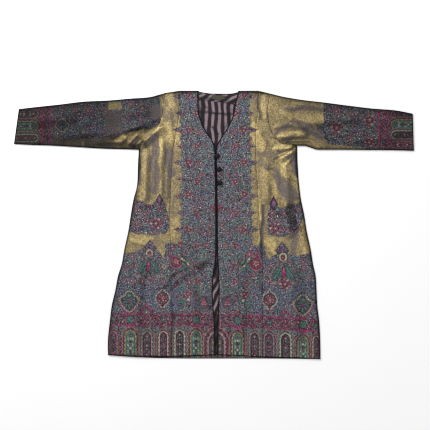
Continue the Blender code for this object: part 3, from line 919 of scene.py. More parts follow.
def loop_piece(number, spot):
    """A cord from the left front edge round the button's shank and back."""
    edge = float(curve(spot.down, marks(FRONTS, "down"), marks(FRONTS, "edge_left")))
    start = edge - BINDING_WIDTH / 2
    bend = SHANK_RADIUS + CORD_RADIUS + LOOP_CLEARANCE
    high = front_top(np.array([spot], float))[0] + GAP + CORD_RADIUS
    centre = max(spot.across, start + 1)
    turns = np.linspace(math.pi / 2, -math.pi / 2, 25)
    bow = np.stack([centre + bend * np.cos(turns), spot.down - bend * np.sin(turns)], axis=-1)
    route = np.concatenate([[[start, spot.down - bend]], bow, [[start, spot.down + bend]]])
    route = even_line(raised(route, high), 0.45)
    name = f"twisted_loop_{number}"
    bm = bmesh.new()
    for phase in (0, math.pi):
        rows = strand(route, phase)
        mesh = grid_sheet(name, place(rows[..., 0], rows[..., 1], rows[..., 2]), closed=True)
        fill_ends(mesh)
        bm.from_mesh(mesh)
        bpy.data.meshes.remove(mesh)
    for middle in (spot.down - bend, spot.down + bend):
        tacks.append(np.array([[start + 1.2, middle + off, high + 0.9] for off in (-1, 1)]))
    return new_piece(name, mesh_of(bm, name), "black_binding", f"button_loop_{number}")


tacks = []
loop_pieces = [loop_piece(number, spot) for number, spot in enumerate(BUTTONS, 1)]
loop_tacks = sew("loop_tacks", tacks, TACK_STEP, TACK_LONG, TACK_THICK)
print("loops:", len(loop_pieces))

# %% [markdown]
# ## The label
# A small woven tab is sewn inside the neck. It is left bare. Its two long edges are folded
# selvedges, which stand a little higher than its face.

# %% Label
LABEL_TURN = 1.0
LABEL_CLOTH = 0.6
share_down, share_across = np.meshgrid(
    np.linspace(0, 1, 25), np.linspace(0, 1, 61), indexing="ij"
)
label_plan = np.stack([
    LABEL_TOP_LEFT.across + share_across * LABEL_WIDTH,
    LABEL_TOP_LEFT.down + share_down * LABEL_HEIGHT + share_across * LABEL_TURN,
], axis=-1)
to_fold = np.minimum(share_down, 1 - share_down) * LABEL_HEIGHT
to_end = np.minimum(share_across, 1 - share_across) * LABEL_WIDTH
label_height = FRONT_LOW + 0.7 + 0.25 * np.exp(-(((to_fold - 0.9) / 0.7) ** 2))
label_height -= 0.35 * np.exp(-((np.minimum(to_fold, to_end) / 0.5) ** 2))
label_piece = cloth_piece(
    "label", "woven_label", label_plan, label_height,
    LABEL_CLOTH, "label_weave", rests_on=["back_neck_facing"],
)
rim = [label_plan[2, 2:-2], label_plan[-3, 2:-2], label_plan[2:-2, 2], label_plan[2:-2, -3]]
rim = [raised(line, FRONT_LOW + 0.85) for line in rim]
label_stitches = sew("label_stitches", rim, step=2.8, long=1.5, thick=0.35)

# %% [markdown]
# ## The woven pattern
# The shawl pattern is drawn with a few shapes: discs, lozenges, drops, pointed arches and
# petals. Each shape is a distance to its edge, worked out for every point of the cloth at
# once, and a colour is laid wherever that distance is below zero. The same chalk marks place
# the flowers and the seams.

# %% Yarns and shapes


def dye(red, green, blue):
    """A yarn colour, given as it looks on a screen, in the linear values that shaders use."""
    colour = np.array([red, green, blue]) / 255
    return np.where(colour <= 0.04045, colour / 12.92, ((colour + 0.055) / 1.055) ** 2.4)


# bright_gold and mauve also serve as the painted highlight and painted shade of the gold ground.
YARNS = {name: dye(*colour) for name, colour in {
    "gold": (142, 127, 94), "bright_gold": (200, 178, 122), "shadow_gold": (92, 82, 66),
    "mauve": (103, 94, 93), "slate": (90, 99, 112), "steel": (82, 96, 116), "sage": (96, 106, 98),
    "ash": (142, 142, 144), "deep_slate": (58, 60, 68), "plum": (78, 66, 84),
    "night": (38, 30, 38), "wine": (98, 36, 60), "magenta": (142, 30, 90), "pink": (164, 88, 112),
    "red": (136, 42, 64), "blush": (178, 138, 136), "teal": (62, 110, 108),
    "green": (62, 122, 108), "cream": (200, 190, 164), "straw": (166, 150, 100),
    "violet": (92, 70, 108), "olive": (84, 76, 74),
}.items()}
SOFT = 1.2


def both(*shapes):
    """What lies inside all of the shapes."""
    return reduce(np.maximum, shapes)


def disc(x, y, radius):
    return np.hypot(x, y) - radius


def oval(x, y, wide, tall):
    return (np.hypot(x / wide, y / tall) - 1) * min(wide, tall)


def diamond(x, y, wide, tall):
    return (np.abs(x) / wide + np.abs(y) / tall - 1) * min(wide, tall) * 0.75


def stroke(x, y, start, end, width):
    """Distance to a round-ended bar between two points."""
    run = np.array(end, float) - start
    share = np.clip(((x - start[0]) * run[0] + (y - start[1]) * run[1]) / (run @ run), 0, 1)
    return np.hypot(x - start[0] - share * run[0], y - start[1] - share * run[1]) - width


def petals(x, y, radius, count, depth=0.25):
    return np.hypot(x, y) - radius * (1 - depth + depth * np.cos(count * np.arctan2(y, x)))


def arch(x, y, half, tall):
    """A pointed arch with its tip at 0, open downwards."""
    rise = half * 1.35
    radius = (half * half + rise * rise) / (2 * half)
    left = np.hypot(x - (radius - half), y - rise) - radius
    right = np.hypot(x + (radius - half), y - rise) - radius
    return np.where(y < rise, np.maximum(left, right), np.maximum(np.abs(x) - half, y - tall))


def drop(x, y, size):
    """A drop with its tip bent over."""
    bend = x + 0.35 * size * np.clip(-y / size, 0, 2) ** 2
    reach = np.clip((y + 1.5 * size) / (1.5 * size), 0, 1)
    tail = np.maximum(np.abs(bend) - size * reach**0.8, -y - 1.5 * size)
    return np.where(y > 0, np.hypot(bend, y) - size, tail)


def scatter(i, j, seed):
    """A number from 0 to 1 for each cell of a grid, the same each time."""
    mixed = np.sin(i * 127.1 + j * 311.7 + seed * 74.7) * 43758.5453
    return mixed - np.floor(mixed)


def mottle(x, y, size, seed):
    """Smooth uneven blotches of about the given size, from -1 to 1."""
    u, v = x / size, y / size
    i, j = np.floor(u), np.floor(v)
    s, t = u - i, v - j
    s, t = s * s * (3 - 2 * s), t * t * (3 - 2 * t)
    low = scatter(i, j, seed) * (1 - s) + scatter(i + 1, j, seed) * s
    high = scatter(i, j + 1, seed) * (1 - s) + scatter(i + 1, j + 1, seed) * s
    return (low * (1 - t) + high * t) * 2 - 1


class Loom:
    """The cloth of one piece as it is woven: a place and a colour for each of its points."""

    def __init__(self, across, down):
        self.x = np.asarray(across, float)
        self.y = np.asarray(down, float)
        self.colour = np.zeros((len(self.x), 3))
        self.flowers = np.zeros(len(self.x))
        self.gold = np.zeros(len(self.x))

    def weave(self, yarn, distance, strength=1.0, flowers=0.34, soft=SOFT, at=slice(None)):
        """Lays a yarn wherever the distance to a shape's edge is below zero."""
        cover = np.clip(0.5 - distance / (2 * soft), 0, 1) * strength
        self.colour[at] += (YARNS[yarn] - self.colour[at]) * cover[:, None]
        self.flowers[at] += (flowers - self.flowers[at]) * cover
        self.gold[at] *= 1 - cover

    def near(self, across, down, reach, turn=0.0):
        """Indices and turned places of the points near a motif."""
        at = np.nonzero((np.abs(self.x - across) < reach) & (np.abs(self.y - down) < reach))[0]
        x, y = self.x[at] - across, self.y[at] - down
        cos, sin = math.cos(math.radians(turn)), math.sin(math.radians(turn))
        return at, x * cos + y * sin, y * cos - x * sin

    def cut(self, at, x, y):
        """Some points as a cloth of their own, with new places, for a border that runs askew."""
        part = Loom(x, y)
        part.colour, part.flowers, part.gold = self.colour[at], self.flowers[at], self.gold[at]
        return part

    def join(self, at, part):
        """Puts such points back."""
        self.colour[at], self.flowers[at], self.gold[at] = part.colour, part.flowers, part.gold


print("yarns:", len(YARNS))

# %% [markdown]
# ## Flowers one by one
# A shawl weaver builds each flower from a few yarns. Here each flower has a function that lays
# its yarns one over the other, dark outline first and bright heart last, in units of the
# flower's own size. A painted picture could do the same, but it would blur when seen close
# and would fit only one size.

# %% Single flowers, leaves and medallions
FLOWERS = {}


def flower(draw):
    """Keeps a way to draw a flower under its own name."""
    FLOWERS[draw.__name__] = draw
    return draw


@flower
def rosette(lay, x, y):
    lay("night", petals(x, y, 1.35, 7, 0.14), 0.75)
    lay("blush", np.abs(petals(x, y, 0.98, 7, 0.25)) - 0.1, 0.65)
    lay("pink", petals(x, y, 0.78, 7, 0.35), 0.55)
    lay("night", np.abs(disc(x, y, 0.5)) - 0.08, 0.7)
    lay("wine", disc(x, y, 0.44))
    lay("cream", disc(x, y, 0.17), 0.85)


@flower
def bud(lay, x, y):
    lay("night", oval(x, y, 0.8, 1.1), 0.75)
    lay("wine", oval(x, y, 0.55, 0.85))
    lay("pink", np.abs(oval(x, y, 0.5, 0.8)) - 0.07, 0.6)
    lay("blush", disc(x, y - 0.2, 0.24))


@flower
def finial(lay, x, y):
    lay("night", both(diamond(x, y, 0.9, 1.6), y - 1))
    lay("violet", diamond(x, y + 0.1, 0.5, 0.95))
    lay("pink", disc(x, y + 0.3, 0.25))


@flower
def spray(lay, x, y):
    lay("night", oval(x, y, 0.45, 1.25), 0.6)
    lay("sage", oval(x, y, 0.14, 1))
    for side in (-1, 1):
        leaf_x = x * 0.8 - side * y * 0.6 - side * 0.2
        lay("night", oval(leaf_x, y * 0.8, 0.34, 0.7), 0.5)
        lay("green", oval(leaf_x, y * 0.8, 0.2, 0.55), 0.8)
        lay("pink", disc(x - side * 0.6, y + 0.5, 0.2))
    lay("cream", disc(x, y + 1, 0.2))


@flower
def peak(lay, x, y):
    """The dark leaf point over a palmette, filled with flowers."""
    lay("night", diamond(x, y, 1.05, 1.25), 0.85, flowers=0.6)
    lay("plum", diamond(x, y + 0.05, 0.85, 1.05), flowers=0.8)
    lay("violet", diamond(x, y + 0.35, 0.26, 0.5), 0.8)
    for side in (-1, 1):
        lay("pink", disc(x - side * 0.36, y - 0.12, 0.08))
    lay("blush", disc(x, y + 0.7, 0.08))


@flower
def ring(lay, x, y):
    lay("night", oval(x, y, 1.25, 1.4))
    lay("cream", oval(x, y, 1.02, 1.18))
    lay("straw", oval(x, y, 0.8, 0.95))
    lay("night", oval(x, y, 0.62, 0.78))
    lay("wine", diamond(x, y, 0.56, 0.7))
    lay("pink", disc(x, y, 0.2))


@flower
def palmette(lay, x, y):
    """Two striped wings that hang from a ring, with a magenta flame between them."""
    beads = np.cos(y * 21) * 0.05
    skirt = both(disc(x, y - 0.1, 1.06), y - 0.75 - np.abs(x) * 0.2)
    lay("night", skirt - 0.1, 0.5)
    lay("sage", np.abs(skirt + beads) - 0.04, 0.8)
    lay("night", np.abs(skirt + 0.12) - 0.04, 0.7)
    for side in (-1, 1):
        wing_x, wing_y = side * x - 0.5, y - 0.02
        cross, along = 0.84 * wing_x - 0.54 * wing_y, 0.54 * wing_x + 0.84 * wing_y
        wing = oval(cross, along, 0.42, 0.92)
        lay("night", wing - 0.16, 0.7)
        lay("blush", np.abs(wing - 0.08 + beads) - 0.03, 0.75)
        lay("teal", wing + 0.02, 0.85)
        lay("night", np.abs(wing + 0.09) - 0.03, 0.9)
        lay("night", wing + 0.13, 0.7)
        ribs = 0.02 - 0.08 * np.cos(cross * 24)
        lay("green", both(ribs, wing + 0.15))
        lay("sage", both(ribs + 0.05, wing + 0.2 + beads), 0.7)
        spike = stroke(x, y, (side * 0.14, 0.75), (side * 0.34, 1.2), 0.07)
        lay("night", spike)
        low_x = x - side * 0.42
        lay("night", petals(low_x, y - 1.3, 0.22, 5), 0.8)
        lay("pink", petals(low_x, y - 1.3, 0.15, 5), 0.8)
    lay("night", oval(x, y - 0.12, 0.24, 0.66))
    lay("magenta", oval(x, y - 0.08, 0.16, 0.5), 0.85)
    lay("pink", oval(x, y + 0.16, 0.07, 0.22))
    lay("night", oval(x, y - 0.98, 0.2, 0.42))
    lay("sage", oval(x, y - 0.98, 0.11, 0.32))


@flower
def leaf(lay, x, y):
    """A bent leaf with a pale edge and a dark rib."""
    bent = x + 0.28 * y * y
    body = oval(bent, y, 0.46, 1)
    lay("night", body - 0.16, 0.8)
    lay("ash", body, 0.8)
    lay("green", body + 0.15)
    lay("night", both(np.abs(bent) - 0.06, body + 0.2), 0.6)


@flower
def curl(lay, x, y):
    """A hooked tendril with a bud in its bend."""
    hook = both(np.abs(np.hypot(x, y) - 0.75) - 0.12, -y - 0.25)
    lay("night", hook - 0.14, 0.75)
    lay("ash", hook, 0.8)
    lay("night", disc(x, y, 0.38), 0.8)
    lay("pink", disc(x, y, 0.2), 0.8)


@flower
def paisley(lay, x, y):
    lay("night", drop(x, y, 1.42), 0.8)
    lay("magenta", drop(x, y, 1.15), 0.8)
    lay("blush", np.abs(drop(x, y, 1.2)) - 0.06, 0.7)
    lay("night", np.abs(drop(x, y, 0.92)) - 0.07, 0.8)
    lay("wine", drop(x, y, 0.72))
    lay("straw", petals(x, y, 0.5, 5, 0.3))
    lay("red", disc(x, y, 0.22))


@flower
def chain(lay, x, y):
    """A stem of cream, teal and straw beads."""
    lay("night", oval(x, y, 0.34, 1.08), 0.8)
    for bead in range(-3, 4):
        yarn = ("straw", "teal", "cream")[bead % 3]
        lay(yarn, disc(x - math.sin(bead) * 0.08, y - bead * 0.3, 0.13), 0.85)
    for side in (-1, 1):
        lay("night", oval(x - side * 0.36, y - 0.4, 0.22, 0.46), 0.7)
        lay("green", oval(x - side * 0.36, y - 0.4, 0.12, 0.34))


@flower
def heart(lay, x, y):
    """A broad medallion, domed above and pointed below, with a beaded edge and striped leaves."""
    dome = np.minimum(oval(x, y, 0.84, 0.5), disc(x, y + 0.5, 0.34))
    blunt = (np.abs(x) / 0.84) ** 1.4 + (np.maximum(y, 0) / 1.02) ** 1.4
    body = np.where(y < 0, dome, (blunt - 1) * 0.55)
    angle = np.arctan2(y, x)
    beads = 0.05 * np.cos(angle * 24)
    lay("night", body - 0.36, 0.7)
    lay("magenta", both(np.abs(body - 0.28 - beads) - 0.06, 0.1 - y), 0.9)
    lay("night", body - 0.18)
    lay("cream", np.abs(body - 0.09 - beads) - 0.07, 0.48)
    lay("night", body + 0.03)
    lay("teal", body + 0.1, 0.45)
    lay("night", both(0.05 - 0.12 * np.cos(angle * 10), body + 0.13))
    lay("ash", both(0.1 - 0.12 * np.cos(angle * 10 + math.pi), body + 0.2), 0.6)
    lay("night", petals(x, y - 0.12, 0.3, 5, 0.3))
    lay("magenta", petals(x, y - 0.12, 0.15, 5, 0.3), 0.8)
    lay("night", disc(x, y + 0.52, 0.22))
    lay("green", disc(x, y + 0.52, 0.16))


@flower
def rose(lay, x, y):
    """A dark red medallion with rows of pink buds, and a bow below."""
    body = np.minimum(disc(x, y + 0.1, 0.86), diamond(x, y + 0.05, 0.8, 1.2))
    beads = 0.06 * np.cos(np.arctan2(y, x) * 22)
    lay("night", body - 0.34, 0.6)
    lay("cream", np.abs(body - 0.2 + beads) - 0.07, 0.75)
    lay("night", body - 0.08)
    lay("wine", body + 0.08, 0.8)
    for ring, count in ((0.62, 10), (0.32, 5)):
        for turn in range(count):
            spot_x = ring * math.cos(turn * math.tau / count)
            spot_y = ring * math.sin(turn * math.tau / count) - 0.1
            yarn = ("pink", "blush", "red")[turn % 3]
            lay("night", disc(x - spot_x, y - spot_y, 0.19), 0.8)
            lay(yarn, disc(x - spot_x, y - spot_y, 0.11))
    lay("blush", disc(x, y + 0.1, 0.12))
    lay("wine", oval(x, y - 1.5, 0.5, 0.16))


@flower
def triangle(lay, x, y):
    body = both(np.abs(x) * 0.9 - (y + 1.2) * 0.42, y - 0.8)
    lay("sage", np.abs(disc(x, y, 1.3) + 0.06 * np.cos(9 * x)) - 0.07, 0.6)
    lay("night", disc(x, y, 1.2), 0.8)
    lay("plum", disc(x, y, 1))
    lay("night", body)
    lay("pink", body + 0.14, 0.7)
    lay("wine", body + 0.34)
    for spot_x, spot_y in ((0, 0.1), (-0.26, 0.5), (0.26, 0.5)):
        lay("blush", disc(x - spot_x, y - spot_y, 0.14), 0.8)


@flower
def pyramid(lay, x, y):
    """A stepped peak that stands on the magenta band."""
    step = np.floor((y + 1) / 0.4) * 0.4 - 1
    body = both(np.abs(x) - (step + 1.25) * 0.75, -y - 1, y - 1.2)
    lay("night", body - 0.1, 0.7)
    lay("wine", body)
    lay("pink", np.abs(body + 0.14) - 0.06, 0.8)
    lay("teal", diamond(x, y - 0.3, 0.5, 0.5))
    lay("night", disc(x, y - 0.3, 0.2))
    lay("cream", disc(x, y - 0.3, 0.1))


@flower
def lozenge(lay, x, y):
    """The large lozenge that the front opening parts."""
    body = diamond(x, y, 1, 0.74)
    lay("night", body - 0.06, 0.7)
    lay("pink", body, 0.7)
    lay("night", body + 0.1)
    lay("wine", body + 0.16)
    lay("pink", np.abs(body + 0.4) - 0.05, 0.7)
    lay("night", disc(x, y, 0.16))


@flower
def whorl(lay, x, y):
    """A rose in a ring of petals, the main flower of the front borders."""
    lay("night", petals(x, y, 1.72, 9, 0.1), 0.45)
    lay("sage", np.abs(petals(x, y, 1.62, 9, 0.1)) - 0.1, 0.7)
    lay("night", petals(x, y, 1.34, 9, 0.12), 0.8)
    for turn in range(9):
        spot_x = math.cos(turn * math.tau / 9 + 0.4)
        spot_y = math.sin(turn * math.tau / 9 + 0.4)
        yarn = ("pink", "blush", "red")[turn % 3]
        lay(yarn, oval(x - spot_x, y - spot_y, 0.27, 0.24))
    lay("night", disc(x, y, 0.66))
    lay("pink", petals(x, y, 0.52, 6, 0.35))
    lay("wine", disc(x, y, 0.26))
    lay("cream", disc(x, y, 0.13))


print("kinds of flower:", ", ".join(FLOWERS))

# %% [markdown]
# ## Where the flowers stand
# Each large flower of the cloth has a row of its own, in the order in which they overlap. The
# front borders repeat the same few posts again and again, mirrored across the opening, as a
# weaver's pattern cards would.

# %% Where the flowers stand
Motif = namedtuple("Motif", "kind across down size turn", defaults=[0])
MOTIF_REACH = 2.4
MOTIFS = [Motif(kind, *row) for kind, *rows in (
    # Flower panels at the hips.
    ("whorl", (-201, 464, 16.8), (217, 481, 16.8)),
    ("finial", (-189, 382, 14.7), (210, 396, 18.9)),
    ("rosette", (-186, 420, 11.2), (-240, 430, 11.2), (-271, 406, 9.8), (-268, 466, 11.9),
        (205, 427, 10.5), (247, 427, 10.5), (299, 413, 10.5), (261, 486, 9.8)),
    # Peaks, rings and palmettes under the gold.
    ("peak", (-222, 550, 24.5), (240, 558, 25.9)), ("ring", (-224, 568, 11.9), (243, 582, 13)),
    ("palmette", (-227, 612, 36.4), (246, 634, 38.5)),
    ("rosette", (-248, 665, 9.8), (-222, 654, 7.7), (-284, 578, 11.2), (-282, 609, 11.2),
        (-299, 658, 9.1), (194, 621, 10.5)),
    ("whorl", (250, 676, 15.4)), ("rosette", (313, 598, 12.6), (334, 654, 10.5)),
    ("ring", (-172, 614, 6.3)),
    # Paisleys beside the front borders.
    ("paisley", (-130, 598, 18.9, -28), (150, 604, 20.3, 28)),
    ("chain", (-103, 592, 29.4, -42), (119, 597, 31.5, 42)),
    ("bud", (-116, 537, 9.8), (-142, 550, 9.1, 40), (128, 569, 15.4, 62), (-105, 567, 9.1),
        (-82, 668, 10.5, 60), (-131, 676, 10.5, 50)),
    ("spray", (-89, 621, 12.6, 70), (103, 626, 12.6, -70)), ("rosette", (159, 679, 8.4)),
    ("bud", (114, 676, 9.1, 20)),
    # Medallions over the magenta band.
    ("heart", (-294, 733, 35), (312, 746, 35)), ("rose", (-178, 728, 23.1), (196, 733, 23.8)),
    ("triangle", (-33, 737, 18.9), (49, 737, 18.9)),
    ("pyramid", (-234, 766, 24.5), (252, 782, 22.4)),
    ("spray", (-103, 742, 19.6, 50), (119, 746, 19.6, -50)),
    # The lozenge that the front opening parts, and the flowers under it.
    ("lozenge", (13, 408, 26.6)), ("bud", (12, 432, 11.9)),
    ("rosette", (-12, 472, 10.5), (30, 469, 10.5), (-23, 539, 11.9), (44, 542, 11.9)),
    # Medallions and flowers of the sleeves.
    ("heart", (-527, 121, 23.1, 90)),
    ("whorl", (546, 102, 17.5), (544, 180, 14), (430, 128, 17.5)),
    ("rosette", (430, 70, 14), (-378, 72, 10.5), (-439, 70, 14), (-485, 63, 11.9),
        (-289, 46, 12.6), (-254, 49, 10.5), (478, 172, 12.6), (485, 84, 11.9)),
) for row in rows]

# The front borders: what stands at each repeat, from the edge inwards.
Post = namedtuple("Post", "kind inward down size turn")
BORDER_REPEAT = 116.0
BORDER_START = 136
BORDER_POSTS = [Post(*row) for row in (
    ("whorl", 26.2, -2, 10.8, 0), ("rosette", 54.2, 4, 9.1, 0), ("bud", -10.5, 0, 5.6, 90),
    ("spray", 63, -22, 9.8, 30), ("leaf", 14, 22, 9.1, 60), ("curl", 42, 26, 8.4, 0),
    ("bud", 71.8, 14, 6.3, -30), ("leaf", 91, -4, 8.4, -50), ("bud", 3.5, 58, 7, 90),
    ("curl", 24.5, 54, 9.1, 180), ("whorl", 56, 60, 9.5, 0), ("spray", 33.2, 84, 9.1, -40),
    ("leaf", 8.8, 86, 8.4, 110), ("rosette", 84, 50, 7.7, 0), ("spray", 91, 92, 8.4, -20),
    ("curl", 63, 92, 8.4, 120),
)]


def weave_motif(loom, motif):
    """Weaves one flower, leaf or medallion at its own size and turn."""
    at, x, y = loom.near(motif.across, motif.down, motif.size * MOTIF_REACH, motif.turn)

    def lay(yarn, distance, strength=1.0, **more):
        loom.weave(yarn, distance * motif.size, strength, at=at, **more)

    if len(at):
        FLOWERS[motif.kind](lay, x / motif.size, y / motif.size)


def tooth(down, sharp):
    """A row of narrow teeth at each repeat, and another halfway between."""
    phase = np.abs((down - BORDER_START) / BORDER_REPEAT % 1 - 0.5) * 2
    return np.clip(1 - (1 - phase) / sharp, 0, 1), np.clip(1 - phase / (sharp * 0.8), 0, 1)


def border_reach(down):
    """How far the border's edge stands out from its mean line, row by row."""
    big, small = tooth(down, 0.24)
    lobe = np.abs(np.sin((down - BORDER_START) / BORDER_REPEAT * math.tau * 2))
    return 25 * big**1.3 + 13 * small**1.3 - 6 * lobe + 4


def border_left(down):
    return np.interp(down, [0, 94, 206, 556], [-114, -116, -112, -112]) - border_reach(down)


def border_right(down):
    line = np.interp(down, [0, 94, 206, 382, 556], [122, 126, 130, 131, 135])
    return line + border_reach(down)


def weave_borders(loom):
    """Flowers down both front borders, the same at each repeat and mirrored across the opening."""
    for number in range(-2, 7):
        level = BORDER_START + number * BORDER_REPEAT
        for side, edge in ((1, -114), (-1, 133)):
            for post in BORDER_POSTS:
                sway = 5 * math.sin(number * 2.1 + post.inward)
                spot = edge + side * (post.inward + sway * 0.3)
                down = level + post.down + sway
                turn = side * post.turn + 12 * math.sin(number + post.size)
                weave_motif(loom, Motif(post.kind, spot, down, post.size, turn))


print("flowers with places of their own:", len(MOTIFS), "posts in a repeat:", len(BORDER_POSTS))

# %% [markdown]
# ## Loose flowers
# Between the large flowers the cloth is strewn with leaves, curls and buds. They could be
# scattered by dice, but then they would move each time the script runs. A fixed formula
# gives each row and place its own small shift instead.

# %% Loose flowers
LOOSE = ("leaf", "spray", "curl", "bud", "leaf", "rosette", "curl", "spray")
LOOSE_ACROSS = 31.0
LOOSE_DOWN = 25.0


def weave_loose_flowers(loom):
    """Leaves, curls and buds in uneven rows over the flowered cloth, mirrored at the opening."""
    for row in range(-1, 34):
        for place_in_row in range(-11, 23):
            chance = scatter(abs(place_in_row), row, 31)
            shift = scatter(abs(place_in_row), row, 32)
            across = (place_in_row + 0.5 * (row % 2) + 0.6 * (shift - 0.5)) * LOOSE_ACROSS
            down = 18 + (row + 0.6 * (chance - 0.5)) * LOOSE_DOWN
            near = loom.near(across, down, 2.5)[0]
            if not len(near) or loom.flowers[near].min() < 0.8 or loom.gold[near].max() > 0.1:
                continue
            kind = LOOSE[int(chance * len(LOOSE))]
            turn = 360 * scatter(abs(place_in_row), row, 33)
            weave_motif(loom, Motif(kind, across, down, 5.5 + 4.5 * shift, turn))


print("kinds that are strewn:", sorted(set(LOOSE)))

# %% [markdown]
# ## Grounds
# Under the flowers lie the plain grounds: the gold, and flowered panels with a ragged dark
# outline. The edge of a panel is a broken line of chalk marks, and all that lies beyond the
# line is covered, so one function serves every panel.

# %% The grounds


def below_line(x, y, points):
    """Positive below a broken line drawn across the cloth."""
    points = np.array(points, float)
    return y - np.interp(x, points[:, 0], points[:, 1])


def lay_ground(loom, yarn, distance, flowers):
    """A flowered ground with a dark, slightly ragged outline."""
    ragged = distance + 1.6 * mottle(loom.x, loom.y, 9, 3)
    loom.weave("night", ragged - 2.2, 0.55, flowers=0.0)
    loom.weave(yarn, ragged, flowers=flowers)
    hue = mottle(loom.x, loom.y, 34, 5) + 0.5 * mottle(loom.x, loom.y, 15, 6)
    loom.weave("steel", both(ragged, 0.35 - hue) * 9, 0.8, flowers, soft=3)
    loom.weave("sage", both(ragged, hue + 0.35) * 9, 0.4, flowers, soft=3)
    tint = mottle(loom.x, loom.y, 21, 21) + 0.4 * mottle(loom.x, loom.y, 9, 22)
    loom.weave("violet", both(ragged, 0.55 - tint) * 9, 0.5, flowers, soft=3)
    loom.weave("teal", both(ragged, 0.5 + tint) * 9, 0.55, flowers, soft=3)


def weave_ground(loom):
    """The gold ground, the flowered panels at the hips, and the flowered cloth below."""
    x, y = loom.x, loom.y
    loom.weave("gold", np.full(len(x), -9.0), flowers=0.0)
    loom.gold[:] = 1
    panel_top = below_line(x, y, [
        (-397, 380), (-271, 382), (-247, 387), (-233, 397), (-215, 398),
        (-200, 382), (-189, 370), (-180, 382), (-169, 397), (-158, 438),
        (-154, 472), (-152, 732),
    ])
    panel_foot = below_line(x, y, [
        (-397, 490), (-289, 492), (-268, 500), (-233, 501), (-215, 505),
        (-187, 499), (-166, 499), (-156, 476), (-152, 382),
    ])
    left = both(-panel_top, panel_foot, x - -152)
    lay_ground(loom, "plum", left, 1.0)
    panel_top = below_line(x, y, [
        (187, 732), (189, 424), (198, 406), (210, 378), (222, 406),
        (243, 410), (261, 401), (282, 397), (299, 392), (345, 385),
    ])
    panel_foot = below_line(x, y, [
        (187, 382), (190, 497), (205, 506), (226, 510), (250, 508),
        (266, 500), (292, 494), (301, 472), (313, 444), (327, 424),
    ])
    right = both(-panel_top, panel_foot, 187 - x)
    lay_ground(loom, "plum", right, 1.0)
    skirt_left = below_line(x, y, [
        (-432, 570), (-299, 569), (-278, 565), (-261, 556), (-247, 551),
        (-233, 536), (-224, 523), (-214, 537), (-203, 553), (-191, 560),
        (-182, 574), (-176, 588), (-170, 567), (-169, 536), (-152, 530),
        (-131, 535), (-110, 525), (-82, 514), (2, 508),
    ])
    skirt_right = below_line(x, y, [
        (9, 508), (93, 522), (128, 532), (149, 541), (170, 539),
        (179, 546), (184, 570), (196, 594), (205, 578), (219, 573),
        (229, 553), (238, 533), (249, 553), (263, 571), (289, 578),
        (331, 570), (408, 564),
    ])
    skirt = np.where(x < 5, skirt_left, skirt_right)
    lay_ground(loom, "slate", -skirt, 0.85)
    bare = np.abs(y - 721 - 8 * np.sin(x / 60)) - 42 + 14 * mottle(x, y, 40, 41)
    loom.weave("steel", bare, 0.6, flowers=0.5, soft=14)
    border = both(border_left(y) - x, x - border_right(y))
    lay_ground(loom, "slate", border, 1.0)


# %% [markdown]
# ## The hem borders
# Along the hem run a magenta band and a row of arches, each a niche with a plant in it. They
# slope with the hem. So that part of the cloth is cut out, woven in places measured from the
# sloping line, and joined back.

# %% A magenta band and a row of arches


def band_shift(x):
    """The hem borders of the right front slope down a little to the side seam."""
    return np.interp(x, [12, 170, 366], [0, 7.7, 21])


Arch = namedtuple("Arch", "across half tip fill halo")
ARCHES = [Arch(*row) for row in (
    (-350, 12.6, 840, "wine", "blush"), (-290, 18.2, 836, "green", "straw"),
    (-233, 16.8, 840, "night", "blush"), (-175, 14.7, 840, "wine", "cream"),
    (-118, 16.1, 836, "night", "cream"), (-61, 17.5, 836, "green", "straw"),
    (10, 28.7, 840, "plum", "blush"), (84, 17.5, 840, "green", "straw"),
    (144, 16.8, 836, "night", "blush"), (194, 16.1, 836, "wine", "ash"),
    (252, 18.2, 833, "night", "cream"), (313, 16.8, 840, "green", "straw"),
    (360, 11.9, 836, "wine", "cream"),
)]
BAND_TOP = 778
BAND_FOOT = 821
PLANTS = {
    "green": ("night", "magenta", "cream"),
    "magenta": ("night", "teal", "cream"),
    "night": ("wine", "blush", "sage"),
    "olive": ("red", "cream", "wine"),
    "wine": ("night", "pink", "teal"),
    "plum": ("night", "cream", "straw"),
}


def weave_arch(loom, x, y, niche, tall):
    """One niche of the arcade: halo, dark lining, coloured field and a small plant."""
    half = niche.half
    shape = arch(x, y, half, tall)
    beads = half * 0.07 * np.cos(y / 2.4)
    loom.weave("night", shape - half * 0.7, flowers=0.3)
    loom.weave("blush", np.abs(shape - half * 0.58 + beads) - half * 0.07, 0.7)
    lining = "teal" if niche.fill in ("olive", "night") else "wine"
    loom.weave(lining, shape - half * 0.48, 0.7)
    loom.weave("night", shape - half * 0.26)
    loom.weave(niche.halo, shape - half * 0.14 + beads, 0.8)
    loom.weave("night", shape + half * 0.08)
    loom.weave(niche.fill, shape + half * 0.24, 0.9 if niche.fill == "green" else 0.65)
    first, second, third = PLANTS[niche.fill]
    field = shape + half * 0.38
    loom.weave(first, both(np.abs(x) - half * 0.06, field), 0.8)
    for level in range(9):
        low = y - half * 1.05 - level * 11
        yarn = (second, third, first)[level % 3]
        loom.weave("night", both(petals(x, low, half * 0.42, 5, 0.2), field), 0.8)
        loom.weave(yarn, petals(x, low, half * 0.26, 5, 0.3), 0.9)
        for side in (-1, 1):
            off = x - side * half * 0.44
            leaf = oval(off, low - 5 + side * x * 0.5, half * 0.08, half * 0.3)
            loom.weave((first, third)[level % 2], both(leaf, field), 0.7)


